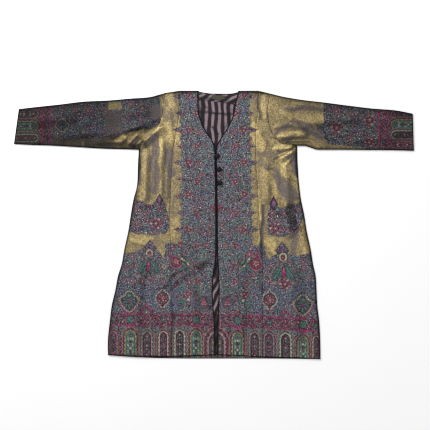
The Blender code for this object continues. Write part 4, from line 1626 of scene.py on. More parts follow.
def weave_hem(loom):
    """The magenta band and the row of arches along the hem."""
    at = np.nonzero((np.abs(loom.x) < 400) & (loom.y > BAND_TOP - 20))[0]
    if not len(at):
        return
    hem = loom.cut(at, loom.x[at], loom.y[at] - band_shift(loom.x[at]))
    x, y = hem.x, hem.y
    hem.weave("night", BAND_FOOT - y, flowers=0.45)
    stripes = np.abs((x + 6) / 29 % 1 - 0.5) * 29
    hem.weave("teal", both(stripes - 5, BAND_FOOT - y))
    hem.weave("wine", both(np.abs(stripes - 10) - 3, BAND_FOOT - y))
    hem.weave("wine", both(BAND_TOP - y, y - BAND_FOOT), flowers=0.7)
    middle = (BAND_TOP + BAND_FOOT) / 2
    for number in range(-16, 18):
        sway = 7 * math.sin(number * 2.4)
        off, low = x - number * 20.5 - 5, y - middle - sway
        hem.weave("night", petals(off, low, 9, 6, 0.2), 0.6)
        yarn = ("magenta", "pink", "plum")[number % 3]
        hem.weave(yarn, petals(off, low, 6.5, 6, 0.3), 0.6)
        hem.weave("blush", disc(off, low, 2), 0.8)
        hem.weave("sage", oval(off - 10, low + sway * 1.8, 3.2, 1.8), 0.7)
    for edge in (BAND_TOP + 2, BAND_FOOT - 1):
        hem.weave("magenta", np.abs(y - edge) - 2 + 2 * mottle(x, y, 9, 18), 0.75)
    for niche in ARCHES:
        off = x - niche.across
        if niche.fill == "green":
            peak = both(diamond(off, y - BAND_FOOT, 22, 14), BAND_FOOT - y - 4)
            hem.weave("magenta", peak, 0.8)
            hem.weave("night", disc(off, y - middle, 14))
            hem.weave("green", petals(off, y - middle, 12, 12, 0.1), 0.9)
            hem.weave("night", np.abs(petals(off, y - middle, 8, 8, 0.3)) - 1.2)
            hem.weave("teal", disc(off, y - middle, 5))
            hem.weave("wine", disc(off, y - middle, 2.6))
        elif niche.fill == "wine":
            hem.weave("night", disc(off, y - middle, 12), 0.7)
            hem.weave("teal", petals(off, y - middle, 9.5, 8, 0.25), 0.8)
            hem.weave("night", disc(off, y - middle, 4))
            hem.weave("ash", disc(off, y - middle, 2))
    for first, second in zip(ARCHES[:-1], ARCHES[1:]):
        gap = x - (first.across + second.across) / 2
        hem.weave("night", disc(gap, y - BAND_FOOT - 10, 10))
        hem.weave("blush", np.abs(disc(gap, y - BAND_FOOT - 10, 7.4)) - 1, 0.7)
        hem.weave("teal", disc(gap, y - BAND_FOOT - 10, 5.6))
        hem.weave("night", disc(gap, y - BAND_FOOT - 10, 2.6))
        for side in (-1, 1):
            leaf = stroke(gap, y - BAND_FOOT, (0, 24), (side * 5, 42), 1.6)
            hem.weave("sage", leaf, 0.7)
    for niche in ARCHES:
        weave_arch(hem, x - niche.across, y - niche.tip, niche, 200)
    loom.join(at, hem)


print("arches along the hem:", len(ARCHES))

# %% [markdown]
# ## The sleeves' pattern
# The same band and arches end each sleeve, a quarter turn round. The function that weaves an
# arch is used again, on a part of the cloth whose places are swapped.

# %% Cuffs and sleeves
SIDEWAYS = {
    -1: [Arch(*row) for row in (
        (80, 16.1, -612, "plum", "blush"), (124, 16.8, -612, "green", "straw"),
        (165, 11.9, -612, "olive", "cream"),
    )],
    1: [Arch(*row) for row in (
        (82, 12.6, 620, "wine", "blush"), (118, 16.1, 620, "green", "straw"),
        (154, 14, 620, "night", "cream"), (188, 11.9, 620, "magenta", "blush"),
    )],
}


def weave_cuffs(loom):
    """Magenta band and sideways arches at the end of each sleeve."""
    x, y = loom.x, loom.y
    for inner, outer, side in ((-567, -602, -1), (574, 613, 1)):
        out = (x - outer) * side
        at = np.nonzero(out > -60)[0]
        if not len(at):
            continue
        cuff = loom.cut(at, y[at], out[at])
        cuff.weave("night", -out[at], flowers=0.7)
        stripes = np.abs(y[at] / 21 % 1 - 0.5) * 21
        cuff.weave("wine", both(stripes - 4, -out[at]), 0.8)
        for niche in SIDEWAYS[side]:
            beyond = out[at] - abs(niche.tip - outer)
            weave_arch(cuff, y[at] - niche.across, np.where(out[at] > 0, beyond, -99), niche, 200)
        band = both(out[at], (inner - x[at]) * side)
        cuff.weave("wine", band, flowers=0.7)
        cuff.weave("magenta", np.abs(out[at] + 3) - 3)
        cuff.weave("magenta", both(np.abs((x[at] - inner) * side - 3) - 3, band))
        loom.join(at, cuff)


def weave_sleeves(loom):
    """Flowered ends of both sleeves, the flowered panel at the left shoulder, and painted shade.
    """
    x, y = loom.x, loom.y
    edge = np.interp(y, [32, 114, 122, 140, 187, 195, 206],
                     [385, 386, 359, 369, 404, 516, 534])
    lay_ground(loom, "deep_slate", edge - x, 0.9)
    foot = np.interp(x, [-698, -572, -502, -397, -268, -222, -177],
                     [182, 173, 166, 170, 140, 130, 112])
    lay_ground(loom, "deep_slate", both(x - -187, y - foot), 0.9)
    dark = both(-341 - x, x - -194, y - foot)
    lay_ground(loom, "plum", dark, 0.85)
    # A plain olive patch of painted shade on the left sleeve's gold ground.
    plain = both(x - -317, -385 - x + (y - 102) * 0.4, y - 150, 68 - y)
    loom.weave("olive", plain + 8 * mottle(x, y, 26, 8), flowers=0.2, soft=9)
    # A plain mauve patch of painted shade on the left sleeve, near the shoulder.
    plain = oval(x - -201, y - 74, 24.5, 28)
    loom.weave("mauve", plain + 3 * mottle(x, y, 14, 9), flowers=0.1, soft=8)
    plain = both(np.abs(x - -345) - 23.8, np.abs(y - 51) - 14) + 2 * mottle(x, y, 8, 2)
    loom.weave("gold", plain, flowers=0.0, soft=2)
    loom.gold[plain < 0] = 0.7
    # Under the left sleeve's long crease the gold is painted in shade, darkest towards the cuff.
    low = both(foot - y, x - -222, y - 214)
    at = low < 0
    bright = np.clip((x[at] - -537) / (-292 - -537), 0, 1)
    outer, inner = YARNS["olive"] * 0.8, YARNS["gold"] * 0.75
    loom.flowers[at] = 0
    loom.colour[at] = outer + (inner - outer) * bright[:, None]
    loom.gold[at] = 0.35 + 0.45 * bright


print("arches round the cuffs:", sum(len(niches) for niches in SIDEWAYS.values()))

# %% [markdown]
# ## Painted highlights and shade
# The gold ground is shot cloth, which shines where it faces the light and turns mauve where it
# bends away. A shader could work that out from the angle alone, but the patches have to lie
# where the photograph has them. So this light and shade is painted into the colour as strokes
# in a table: painted highlight above 0 and painted shade below.

# %% Where the gold is painted with highlights and shade
Tone = namedtuple("Tone", "across down to_across to_down width amount")
PAINTED_GOLD_LIGHT = [Tone(*row) for row in (
    # Left front.
    (-149, 10, -149, 66, 10.5, 0.58), (-131, 7, -126, 88, 5.6, -0.6),
    (-168, 10, -172, 74, 3.1, -0.7), (-145, 80, -152, 105, 21, -0.55),
    (-166, 130, -142, 164, 21, 0.65), (-205, 164, -203, 346, 15.4, -1),
    (-236, 178, -236, 385, 8.4, 0.65), (-257, 206, -261, 329, 6.3, -1),
    (-180, 144, -177, 368, 7.7, 0.72), (-152, 220, -152, 287, 17.5, -1),
    (-159, 298, -163, 357, 11.2, -0.6), (-128, 102, -124, 200, 10.5, 0.36),
    (-142, 368, -145, 438, 7.7, -0.6), (-131, 458, -145, 508, 14, 0.43),
    (-282, 514, -236, 528, 17.5, 0.5), (-198, 514, -201, 542, 10.5, -0.6),
    (-233, 396, -215, 392, 10.5, 0.43), (-236, 189, -236, 374, 11.9, -0.35),
    (-184, 242, -180, 368, 10.5, -0.35),
    # Right front.
    (145, 21, 149, 66, 12.2, -0.45), (178, 14, 173, 94, 7, 0.9), (163, 14, 161, 91, 4.2, -0.8),
    (135, 130, 170, 192, 15.8, 0.9), (156, 217, 212, 228, 11.2, -0.7),
    (236, 224, 278, 200, 5.6, 1), (159, 252, 194, 273, 9.1, -0.85),
    (214, 280, 229, 326, 14.7, -1), (236, 326, 271, 371, 22.8, -1),
    (282, 234, 285, 284, 13.3, -1), (290, 315, 299, 364, 8.4, 0.9),
    (198, 284, 212, 368, 11.2, 0.7), (247, 252, 254, 290, 15.8, 0.7),
    (173, 406, 172, 532, 7.4, -1), (159, 346, 160, 539, 2.8, 1), (282, 490, 284, 570, 11.2, -1),
    (306, 444, 324, 567, 7, 0.9), (198, 522, 219, 556, 15.8, 0.8),
    # Right sleeve.
    (198, 32, 233, 108, 17.5, 0.3), (261, 88, 373, 98, 17.5, 0.35),
    (254, 66, 313, 52, 6.3, -0.95), (303, 54, 383, 63, 9.1, -1), (278, 40, 313, 44, 3.5, 0.7),
    (219, 150, 261, 126, 6.3, -1), (254, 133, 292, 114, 11.2, -1), (285, 112, 338, 136, 15.4, -1),
    (331, 136, 380, 158, 14, -1), (229, 158, 303, 149, 3.5, 1), (243, 169, 292, 162, 3.5, -0.9),
    (303, 172, 380, 192, 9.1, 0.35), (247, 94, 324, 161, 1.8, 0.8),
    # Left sleeve.
    (-341, 172, -254, 142, 9.1, 0.9), (-453, 186, -362, 192, 10.5, -0.9),
    (-303, 189, -285, 161, 5.6, 1), (-289, 196, -268, 168, 8.4, -1),
    (-464, 186, -460, 203, 3.1, 0.9), (-436, 178, -432, 192, 3.1, 0.7),
    (-408, 196, -401, 205, 3.9, 0.8),
)]

# Painted shade where the flowered cloth turns away from the light.
PAINTED_SHADES = [Tone(*row) for row in (
    (171, 402, 170, 536, 4.5, -0.5), (287, 214, 290, 298, 6, -0.6),
    (-256, 192, -259, 284, 4.5, -0.6), (-262, 284, -276, 382, 3.1, -0.5),
    (215, 168, 264, 187, 2.4, -0.75), (236, 224, 282, 191, 3.1, -0.75),
    (261, 178, 290, 196, 3.9, -0.7), (240, 180, 303, 168, 2.4, -0.5),
    (187, 80, 208, 147, 1.8, -0.6), (236, 80, 268, 105, 1.8, -0.5),
    (296, 112, 320, 140, 2.1, -0.5), (-254, 161, -233, 196, 5.6, -0.5),
    (-282, 200, -257, 163, 4.2, -0.6), (-446, 192, -285, 196, 14, -0.4),
    (-177, 14, -177, 88, 1.8, -0.6), (-119, 7, -117, 74, 2.1, -0.6),
    (156, 14, 158, 102, 1.8, -0.6), (-278, 598, -294, 648, 4.9, -0.35),
    (93, 598, 79, 732, 9.1, -0.25), (-72, 598, -86, 522, 8.4, -0.25),
    (303, 626, 317, 718, 9.1, -0.3), (271, 410, 275, 472, 15.8, -0.6),
    (-180, 686, -135, 644, 7, -0.55), (-135, 644, -26, 598, 6.3, -0.5),
    (173, 532, 173, 578, 6.3, -0.5), (-149, 732, -145, 914, 4.9, -0.4),
    (-362, 168, -268, 139, 3.5, -0.6), (-268, 139, -180, 119, 3.5, -0.6),
    (-292, 102, -222, 80, 10.5, -0.3), (93, 130, 124, 121, 2.8, -0.6),
)]


def tone_of(x, y, tones, soft):
    """Where strokes of painted light lie: from -1, painted shade, up to 1, painted highlight."""
    x = x + 7 * mottle(x, y, 42, 11) + 3 * mottle(x, y, 15, 12)
    y = y + 7 * mottle(x, y, 42, 13) + 3 * mottle(x, y, 15, 14)
    tone = np.zeros(len(x))
    for spot in tones:
        away = stroke(x, y, (spot.across, spot.down), (spot.to_across, spot.to_down), spot.width)
        cover = np.clip(0.5 - away / soft, 0, 1)
        cover = cover * cover * (3 - 2 * cover) * abs(spot.amount)
        tone += (math.copysign(1, spot.amount) - tone) * cover
    return tone


def weave_shawl(across, down):
    """The whole pattern at the given places, the painted light of its gold, and painted shade."""
    loom = Loom(across, down)
    weave_ground(loom)
    weave_sleeves(loom)
    weave_loose_flowers(loom)
    weave_borders(loom)
    for motif in MOTIFS:
        weave_motif(loom, motif)
    weave_hem(loom)
    weave_cuffs(loom)
    # Painted highlights and painted shade of the gold, with a little uneven painted sheen.
    tone = tone_of(loom.x, loom.y, PAINTED_GOLD_LIGHT, 6)
    tone += 0.16 * mottle(loom.x, loom.y, 30, 15) + 0.12 * mottle(loom.x, loom.y, 12, 16)
    # Painted shade on the flowered cloth.
    shade = 1 + tone_of(loom.x, loom.y, PAINTED_SHADES, 9)
    return loom, tone, shade


print("strokes of tone:", len(PAINTED_GOLD_LIGHT), "strokes of shade:", len(PAINTED_SHADES))

# %% [markdown]
# ## Dyeing the cloth, with painted light and shade
# The pattern is worked out for every point of a cloth mesh and kept there as a colour
# attribute, so it stays on the threads whatever the folds do. Painted highlights and painted
# shade of the gold's sheen are mixed into that colour. A second attribute keeps how much of the
# gold ground a point has, its painted sheen, and painted shade for the material to multiply in.

# %% Dye the shawl cloth and paint its light and shade
# Below this row the painted shade along the outline is stronger.
HEM_SHADE_TOP = 905.0
# How strongly a fold's slope lights or shades the gold in the painted sheen.
SLOPE_SHEEN_GAIN = 2.4
# The sleeves are darker than the body, darkest at the cuffs: places across, and how
# bright the cloth is there.
SLEEVE_BRIGHTNESS = [
    (-700, 0.28), (-600, 0.33), (-560, 0.4), (-520, 0.34), (-390, 0.42), (-330, 0.6),
    (-300, 0.62), (-215, 0.5), (-190, 0.6), (-168, 0.98), (190, 0.98), (260, 0.75),
    (370, 0.64), (400, 0.64), (560, 0.62), (590, 0.6), (620, 0.46), (700, 0.44),
]


def store(mesh, name, kind, values):
    """Keeps values on the points of a mesh, where the shaders can read them."""
    made = mesh.attributes.new(name, kind, "POINT")
    key = "value" if kind == "FLOAT" else "color"
    made.data.foreach_set(key, values.astype(np.float32).ravel())


def chalk_places(mesh):
    """Places across and down of the points of a mesh."""
    spots = read_points(mesh) / MM
    return spots[:, 0] + MIDDLE_ACROSS, MIDDLE_DOWN - spots[:, 1]


def dye_cloth(piece):
    """Stores the woven pattern with its painted sheen and shade on the points of a cloth piece."""
    mesh = piece.data
    lean = read_points(mesh, "normal")
    across, down = chalk_places(mesh)
    loom, tone, shade = weave_shawl(across, down)
    # Painted sheen: the gold is lit or shaded by how its folds slope towards the lamp at the upper
    # left.
    turned = SLOPE_SHEEN_GAIN * (0.7 * lean[:, 1] - 0.5 * lean[:, 0])
    tone = np.clip(tone + (1 - 0.8 * np.clip(np.abs(tone), 0, 1)) * turned, -1, 1)
    # Painted highlight in bright gold and painted shade in mauve, on the gold ground only.
    painted_highlight = loom.gold * np.clip(tone, 0, 1)
    painted_shade = loom.gold * np.clip(-tone, 0, 1)
    colour = loom.colour
    colour += (YARNS["bright_gold"] - colour) * painted_highlight[:, None]
    colour += (YARNS["mauve"] - colour) * painted_shade[:, None]
    # The gold shines less where it lies in painted shade.
    loom.gold *= 1 - 0.65 * np.clip(-tone, 0, 1)
    # Painted shade where the cloth turns down at its outline, stronger low down near the hem.
    edge = distance_to(OUTLINE, np.column_stack([across, down]))
    shade *= 1 - 0.52 * np.exp(-((edge / 5) ** 4)) - 0.36 * np.exp(-((edge / 14) ** 2))
    shade *= 1 - np.where(down > HEM_SHADE_TOP, 0.55, 0.25) * np.exp(-((edge / 8) ** 4))
    # Darker sleeves, darkest at the cuffs.
    if piece.name.startswith("sleeve"):
        shade *= np.interp(across, *np.transpose(SLEEVE_BRIGHTNESS))
    # Painted shade on slopes that face away from the lamp at the upper left.
    shade *= 0.7 + 0.3 * np.clip(1 + 4 * (lean[:, 1] - lean[:, 0]), 0, 1)
    store(mesh, "pattern", "FLOAT_COLOR", np.column_stack([colour, loom.flowers]))
    # The second attribute keeps the gold, the painted sheen and the painted shade.
    gold_and_painted_light = np.column_stack([loom.gold, 0.5 + 0.5 * tone, shade, np.ones(len(shade))])
    store(mesh, "gold_and_painted_light", "FLOAT_COLOR", gold_and_painted_light)


for piece in shawl_pieces:
    dye_cloth(piece)
print("dyed", len(shawl_pieces), "pieces")

# %% [markdown]
# ## Woven finishes
# Real shawl cloth is never one flat colour: each flower is a few threads wide. Shader nodes
# add that finest scale over the dyed pattern. Each effect is a node group, built once.

# %% Helpers for shader nodes


def start_group(name, inputs, outputs):
    """An empty node group with named sockets."""
    group = bpy.data.node_groups.new(name, "ShaderNodeTree")
    for label, kind, value in inputs:
        made = group.interface.new_socket(label, in_out="INPUT", socket_type=kind)
        if value is not None:
            made.default_value = value
    for label, kind in outputs:
        group.interface.new_socket(label, in_out="OUTPUT", socket_type=kind)
    entry = group.nodes.new("NodeGroupInput")
    leave = group.nodes.new("NodeGroupOutput")
    return group, entry, leave


def node(tree, kind, **settings):
    """A shader node with some of its settings."""
    made = tree.nodes.new(f"ShaderNode{kind}")
    for name, value in settings.items():
        setattr(made, name, value)
    return made


def plug(tree, sockets, values):
    """Sets each socket to a number or colour, or links it to another node's socket."""
    for socket, value in zip(sockets, values):
        if isinstance(value, bpy.types.NodeSocket):
            tree.links.new(value, socket)
        else:
            socket.default_value = value


def math_node(tree, operation, *values, clamp=False):
    """A Math node on two or three values."""
    made = node(tree, "Math", operation=operation, use_clamp=clamp)
    plug(tree, made.inputs, values)
    return made.outputs[0]


def times(tree, *values, clamp=False):
    """One value times another."""
    return math_node(tree, "MULTIPLY", *values, clamp=clamp)


def times_add(tree, *values, clamp=False):
    """One value times another, plus a third."""
    return math_node(tree, "MULTIPLY_ADD", *values, clamp=clamp)


def vector_node(tree, operation, *values):
    """A Vector Math node."""
    made = node(tree, "VectorMath", operation=operation)
    plug(tree, made.inputs, values)
    return made.outputs[0]


def noise_node(tree, spot, scale, detail=2.0, distortion=0.0, dimensions="3D"):
    """A noise over the given places."""
    made = node(tree, "TexNoise", noise_dimensions=dimensions)
    names = ("Vector", "Scale", "Detail", "Distortion")
    plug(tree, [made.inputs[name] for name in names], (spot, scale, detail, distortion))
    return made


def mix_colour(tree, factor, first, second, blend="MIX"):
    """Mixes two colours, each a yarn or another node's socket."""
    made = node(tree, "Mix", data_type="RGBA", blend_type=blend)
    colours = [
        colour if isinstance(colour, bpy.types.NodeSocket) else (*colour, 1)
        for colour in (first, second)
    ]
    plug(tree, (made.inputs[0], made.inputs[6], made.inputs[7]), (factor, *colours))
    return made.outputs[2]


def step_ramp(tree, factor, colours, smooth=False):
    """A colour ramp with equal steps, one for each colour."""
    made = node(tree, "ValToRGB")
    ramp = made.color_ramp
    ramp.interpolation = "LINEAR" if smooth else "CONSTANT"
    while len(ramp.elements) < len(colours):
        ramp.elements.new(0.5)
    for index, colour in enumerate(colours):
        ramp.elements[index].position = index / len(colours)
        ramp.elements[index].color = (*colour, 1)
    tree.links.new(factor, made.inputs[0])
    return made.outputs[0]


def add_bump(tree, shader, height, strength, distance):
    """Raises the surface a little where height is high."""
    bump = node(tree, "Bump")
    names = ("Height", "Strength", "Distance")
    plug(tree, [bump.inputs[name] for name in names], (height, strength, distance))
    tree.links.new(bump.outputs[0], shader.inputs["Normal"])


def wear(finish, *pieces):
    """Gives pieces their finish."""
    for piece in pieces:
        piece.data.materials.append(finish)


print("brightest yarn:", max(YARNS, key=lambda name: YARNS[name].sum()))

# %% [markdown]
# ## The smallest flowers
# Between the woven flowers are others only a few threads wide. There are thousands, too many
# for the mesh to hold. So a node group scatters them: cells give petals and seeds, and the
# middle line of a noise gives vines.

# %% Small flowers
Layer = namedtuple("Layer", "scale size bare yarns")
PETALS = [Layer(*row) for row in (
    (0.07, 0.38, 0.5, "teal violet wine steel night teal plum steel sage wine"),
    (0.15, 0.34, 0.62, "pink night teal wine blush night red sage magenta night violet cream"),
)]
SEEDS = Layer(0.27, 0.38, 0.78, "straw night blush night pink cream night ash sage night")
Vine = namedtuple("Vine", "scale level thin yarn strength")
VINES = [
    Vine(0.13, 11.0, 14.0, "ash", 0.62),
    Vine(0.14, 37.0, 14.0, "night", 0.78),
    Vine(0.1, 51.0, 18.0, "night", 0.6),
]


def small_flowers():
    """Vines, petals and seeds that fill the ground between the drawn motifs."""
    group, entry, leave = start_group(
        "small flowers",
        [("Vector", "NodeSocketVector", None), ("Ground", "NodeSocketColor", None),
         ("Amount", "NodeSocketFloat", 1.0)],
        [("Color", "NodeSocketColor"), ("Height", "NodeSocketFloat")],
    )
    flat = vector_node(group, "MULTIPLY", entry.outputs["Vector"], (1000, 1000, 0))
    bend = noise_node(group, flat, 0.12, dimensions="2D")
    push = vector_node(group, "MULTIPLY_ADD", bend.outputs["Color"], (9, 9, 0), flat)
    amount = entry.outputs["Amount"]
    few = times_add(group, amount, 1.4, -0.35, clamp=True)
    many = times(group, amount, 1.5, clamp=True)

    def lay_cells(colour, layer):
        cells = node(group, "TexVoronoi", voronoi_dimensions="2D", feature="F1")
        sockets = [cells.inputs[name] for name in ("Vector", "Scale", "Randomness")]
        plug(group, sockets, (push, layer.scale, 0.9))
        pick = node(group, "SeparateColor")
        plug(group, pick.inputs, [cells.outputs["Color"]])
        yarn = step_ramp(group, pick.outputs[0], [YARNS[name] for name in layer.yarns.split()])
        chosen = times(group, math_node(group, "GREATER_THAN", pick.outputs[1], layer.bare), few)
        rims = ((layer.size + 0.12, 0.6, YARNS["night"]), (layer.size, 1.0, yarn))
        for size, strength, fill in rims:
            inside = math_node(group, "SUBTRACT", size, cells.outputs["Distance"])
            inside = times(group, times(group, inside, 9.0, clamp=True), chosen)
            colour = mix_colour(group, times(group, inside, strength), colour, fill)
        return colour, inside

    def lay_vine(colour, vine):
        level = vector_node(group, "ADD", flat, (0, 0, vine.level))
        noise = noise_node(group, level, vine.scale, 1, 0.7)
        away = math_node(group, "SUBTRACT", noise.outputs["Fac"], 0.5)
        away = math_node(group, "ABSOLUTE", away)
        line = times(group, times_add(group, away, -vine.thin, 1.0, clamp=True), many)
        return mix_colour(group, times(group, line, vine.strength), colour, YARNS[vine.yarn])

    colour = entry.outputs["Ground"]
    for layer in PETALS:
        colour, inside = lay_cells(colour, layer)
    for vine in VINES:
        colour = lay_vine(colour, vine)
    plug(group, leave.inputs, lay_cells(colour, SEEDS))
    return group


SMALL_FLOWERS = small_flowers()
print("layers of petals:", len(PETALS), "layers of vines:", len(VINES))

# %% [markdown]
# ## Threads
# Two sine waves that cross make a plain weave, and the middle line of a noise makes the
# winding figure of the gold ground. Both are node groups that give only values, so that
# every cloth can share them.

# %% Threads and the worm pattern of the gold ground


def woven_threads():
    """Warp and weft that cross every fraction of a millimetre, as a height and a shade."""
    group, entry, leave = start_group(
        "woven threads",
        [("Vector", "NodeSocketVector", None), ("Threads per metre", "NodeSocketFloat", 700.0)],
        [("Height", "NodeSocketFloat"), ("Shade", "NodeSocketFloat")],
    )
    scaled = node(group, "VectorMath", operation="SCALE")
    sockets = (scaled.inputs[0], scaled.inputs["Scale"])
    plug(group, sockets, [entry.outputs["Vector"], entry.outputs["Threads per metre"]])
    part = node(group, "SeparateXYZ")
    plug(group, part.inputs, [scaled.outputs[0]])
    warp, weft = (
        math_node(group, "SINE", times(group, part.outputs[axis], math.tau)) for axis in (0, 1)
    )
    height = times_add(group, times(group, warp, weft), 0.5, 0.5)
    uneven = noise_node(group, scaled.outputs[0], 0.25, 3)
    plug(group, leave.inputs, [height, uneven.outputs["Fac"]])
    return group


def worm_pattern():
    """The fine winding figure of the gold ground, bright threads over dull ones."""
    group, entry, leave = start_group(
        "worm pattern", [("Vector", "NodeSocketVector", None)], [("Figure", "NodeSocketFloat")]
    )
    noise = noise_node(group, entry.outputs["Vector"], 125, 2, 0.8, "2D")
    away = math_node(group, "SUBTRACT", noise.outputs["Fac"], 0.5)
    ridge = times(group, math_node(group, "ABSOLUTE", away), 8.0, clamp=True)
    plug(group, leave.inputs, [ridge])
    return group


WOVEN_THREADS = woven_threads()
WORM_PATTERN = worm_pattern()
print("node groups:", [group.name for group in bpy.data.node_groups])

# %% [markdown]
# ## The shawl cloth's finish
# One material serves all the shawl cloth. It reads the dyed pattern, with its painted light,
# from the mesh, adds small flowers, grain and threads, multiplies in the painted shade kept on
# the mesh, and gives the gold ground a little metallic shine.

# %% Shawl cloth


def start_finish(name, roughness, **sockets):
    """A material with its Principled shader, and the place on the piece that patterns read."""
    made = bpy.data.materials.new(name)
    made.use_nodes = True
    tree = made.node_tree
    shader = tree.nodes["Principled BSDF"]
    shader.inputs["Roughness"].default_value = roughness
    for label, value in sockets.items():
        shader.inputs[label.replace("_", " ")].default_value = value
    spot = node(tree, "TexCoord").outputs["Object"]
    return made, tree, shader, spot


def group_node(tree, group, spot):
    """A node group, reading the given places."""
    made = node(tree, "Group", node_tree=group)
    tree.links.new(spot, made.inputs["Vector"])
    return made


FLOWER_GRAIN = 3.2


def shawl_finish():
    """The finish of all the shawl cloth."""
    made, tree, shader, spot = start_finish(
        "shawl cloth", 0.6, Sheen_Weight=0.04, Sheen_Roughness=0.35, Specular_IOR_Level=0.14
    )
    pattern = node(tree, "Attribute", attribute_name="pattern")
    gold_and_painted_light = node(tree, "Attribute", attribute_name="gold_and_painted_light")
    split = node(tree, "SeparateColor")
    plug(tree, split.inputs, [gold_and_painted_light.outputs["Color"]])
    gold = split.outputs[0]
    amount = pattern.outputs["Alpha"]
    flowers = group_node(tree, SMALL_FLOWERS, spot)
    sockets = (flowers.inputs["Ground"], flowers.inputs["Amount"])
    plug(tree, sockets, (pattern.outputs["Color"], amount))
    figure = group_node(tree, WORM_PATTERN, spot).outputs["Figure"]
    threads = group_node(tree, WOVEN_THREADS, spot)

    # The flowers are broken up by the grain of the yarns, the gold hardly at all.
    grain = noise_node(tree, spot, 250, 1, dimensions="2D").outputs["Fac"]
    grain = times_add(tree, grain, FLOWER_GRAIN, -FLOWER_GRAIN / 2)
    grain = times_add(tree, grain, times_add(tree, amount, 0.75, 0.25), 1.0)
    grain = math_node(tree, "MAXIMUM", math_node(tree, "MAXIMUM", grain, 0.2), gold)
    colour = mix_colour(tree, 1.0, flowers.outputs["Color"], grain, blend="MULTIPLY")

    # Dull and bright threads of the gold's winding figure, the bright ones a painted glint.
    dull = times(tree, times(tree, math_node(tree, "SUBTRACT", 1.0, figure), gold), 0.65)
    colour = mix_colour(tree, dull, colour, YARNS["shadow_gold"])
    glint = times_add(tree, figure, 2.5, -1.5, clamp=True)
    glint = times(tree, times(tree, glint, gold), 0.3)
    colour = mix_colour(tree, glint, colour, YARNS["bright_gold"])

    # The threads' random unevenness, times the painted shade kept on the mesh.
    shade = times_add(tree, threads.outputs["Shade"], 0.7, 0.65)
    shade = times(tree, shade, split.outputs[2])
    colour = mix_colour(tree, 1.0, colour, shade, blend="MULTIPLY")
    rough = math_node(tree, "ADD", times(tree, gold, -0.2), 0.66)
    sockets = [shader.inputs[name] for name in ("Base Color", "Roughness", "Metallic")]
    plug(tree, sockets, (colour, rough, times(tree, gold, 0.35)))
    relief = math_node(tree, "ADD", threads.outputs["Height"], flowers.outputs["Height"])
    relief = math_node(tree, "ADD", relief, times(tree, figure, gold))
    add_bump(tree, shader, relief, strength=0.35, distance=0.0004)
    return made


SHAWL = shawl_finish()
wear(SHAWL, *shawl_pieces)
print(SHAWL.name, "has", len(SHAWL.node_tree.nodes), "nodes")

# %% [markdown]
# ## The lining's finish
# The lining is striped. A wave across the piece picks colours from a ramp, a noise bends the
# stripes a little, and strokes of shade darken them inside the jacket, where soft light
# alone would leave them too bright.

# %% Lining stripes
STRIPE_REPEAT = 23.0
SKIRT_SLANT = 0.45
STRIPES = [dye(28, 14, 20), dye(30, 16, 22), dye(42, 28, 35), dye(80, 66, 73), dye(126, 112, 119)]


def lining_finish(name, turn):
    """Stripes at the given turn, in degrees."""
    made, tree, shader, spot = start_finish(name, 0.5, Specular_IOR_Level=0.25)
    aim = node(tree, "Mapping")
    sockets = (aim.inputs["Vector"], aim.inputs["Rotation"])
    plug(tree, sockets, (spot, (0, 0, math.radians(turn))))
    sway = noise_node(tree, spot, 14)
    part, level = node(tree, "SeparateXYZ"), node(tree, "SeparateXYZ")
    plug(tree, (part.inputs[0], level.inputs[0]), (aim.outputs[0], spot))
    below = math_node(tree, "MAXIMUM", times_add(tree, level.outputs[1], -1.0, -0.1), 0.0)
    along = times_add(tree, below, SKIRT_SLANT, part.outputs[0])
    along = times(tree, along, 1000 / STRIPE_REPEAT)
    along = math_node(tree, "ADD", along, times(tree, sway.outputs["Fac"], 0.9))
    wave = math_node(tree, "SINE", times(tree, along, math.tau))
    stripes = step_ramp(tree, times_add(tree, wave, 0.5, 0.5), STRIPES, smooth=True)
    threads = group_node(tree, WOVEN_THREADS, spot)
    shade = times_add(tree, threads.outputs["Shade"], 0.8, 0.6)
    shade = times(tree, shade, node(tree, "Attribute", attribute_name="hollow").outputs["Fac"])
    colour = mix_colour(tree, 1.0, stripes, shade, blend="MULTIPLY")
    plug(tree, [shader.inputs["Base Color"]], [colour])
    add_bump(tree, shader, threads.outputs["Height"], strength=0.3, distance=0.0003)
    return made


# How much light reaches the lining inside the jacket: strokes of shade, as on the outside.
HOLLOWS = [Tone(*row) for row in (
    (-52, 20, -46, 110, 7, -0.75), (-46, 110, -8, 180, 5, -0.7), (-60, 24, 96, 40, 7, -0.6),
    (-52, 73, 76, 76, 4.6, -0.8), (-6, 129, 19, 149, 3.4, -0.85), (-40, 44, -20, 60, 4, -0.5),
    (62, 60, 46, 130, 4, -0.5), (8, 190, 9, 640, 14, -0.85), (8, 790, 9, 940, 14, -0.9),
    (14, 640, 16, 790, 3, -0.5),
)]


for piece, name, turn in ((lining_piece, "lining", 0), (facing_piece, "facing", 55)):
    light = 1 + tone_of(*chalk_places(piece.data), HOLLOWS, 9)
    store(piece.data, "hollow", "FLOAT", light)
    wear(lining_finish(f"{name} stripes", turn), piece)
    print(name, "light from", round(float(light.min()), 2), "to", round(float(light.max()), 2))

# %% [markdown]
# ## Trims
# Tapes, cords, buttons, label and threads are plain weaves that differ in colour, roughness
# and fineness, so one function makes all their finishes.

# %% Bindings, label and buttons


def plain_weave_finish(name, colour, roughness, threads_per_metre=900.0):
    """A dark ribbed weave with a little unevenness."""
    made, tree, shader, spot = start_finish(name, roughness, Specular_IOR_Level=0.15)
    threads = group_node(tree, WOVEN_THREADS, spot)
    threads.inputs["Threads per metre"].default_value = threads_per_metre
    shade = math_node(tree, "ADD", threads.outputs["Shade"], 0.5)
    dyed = mix_colour(tree, 1.0, colour, shade, blend="MULTIPLY")
    plug(tree, [shader.inputs["Base Color"]], [dyed])
    add_bump(tree, shader, threads.outputs["Height"], strength=0.5, distance=0.0003)
    return made


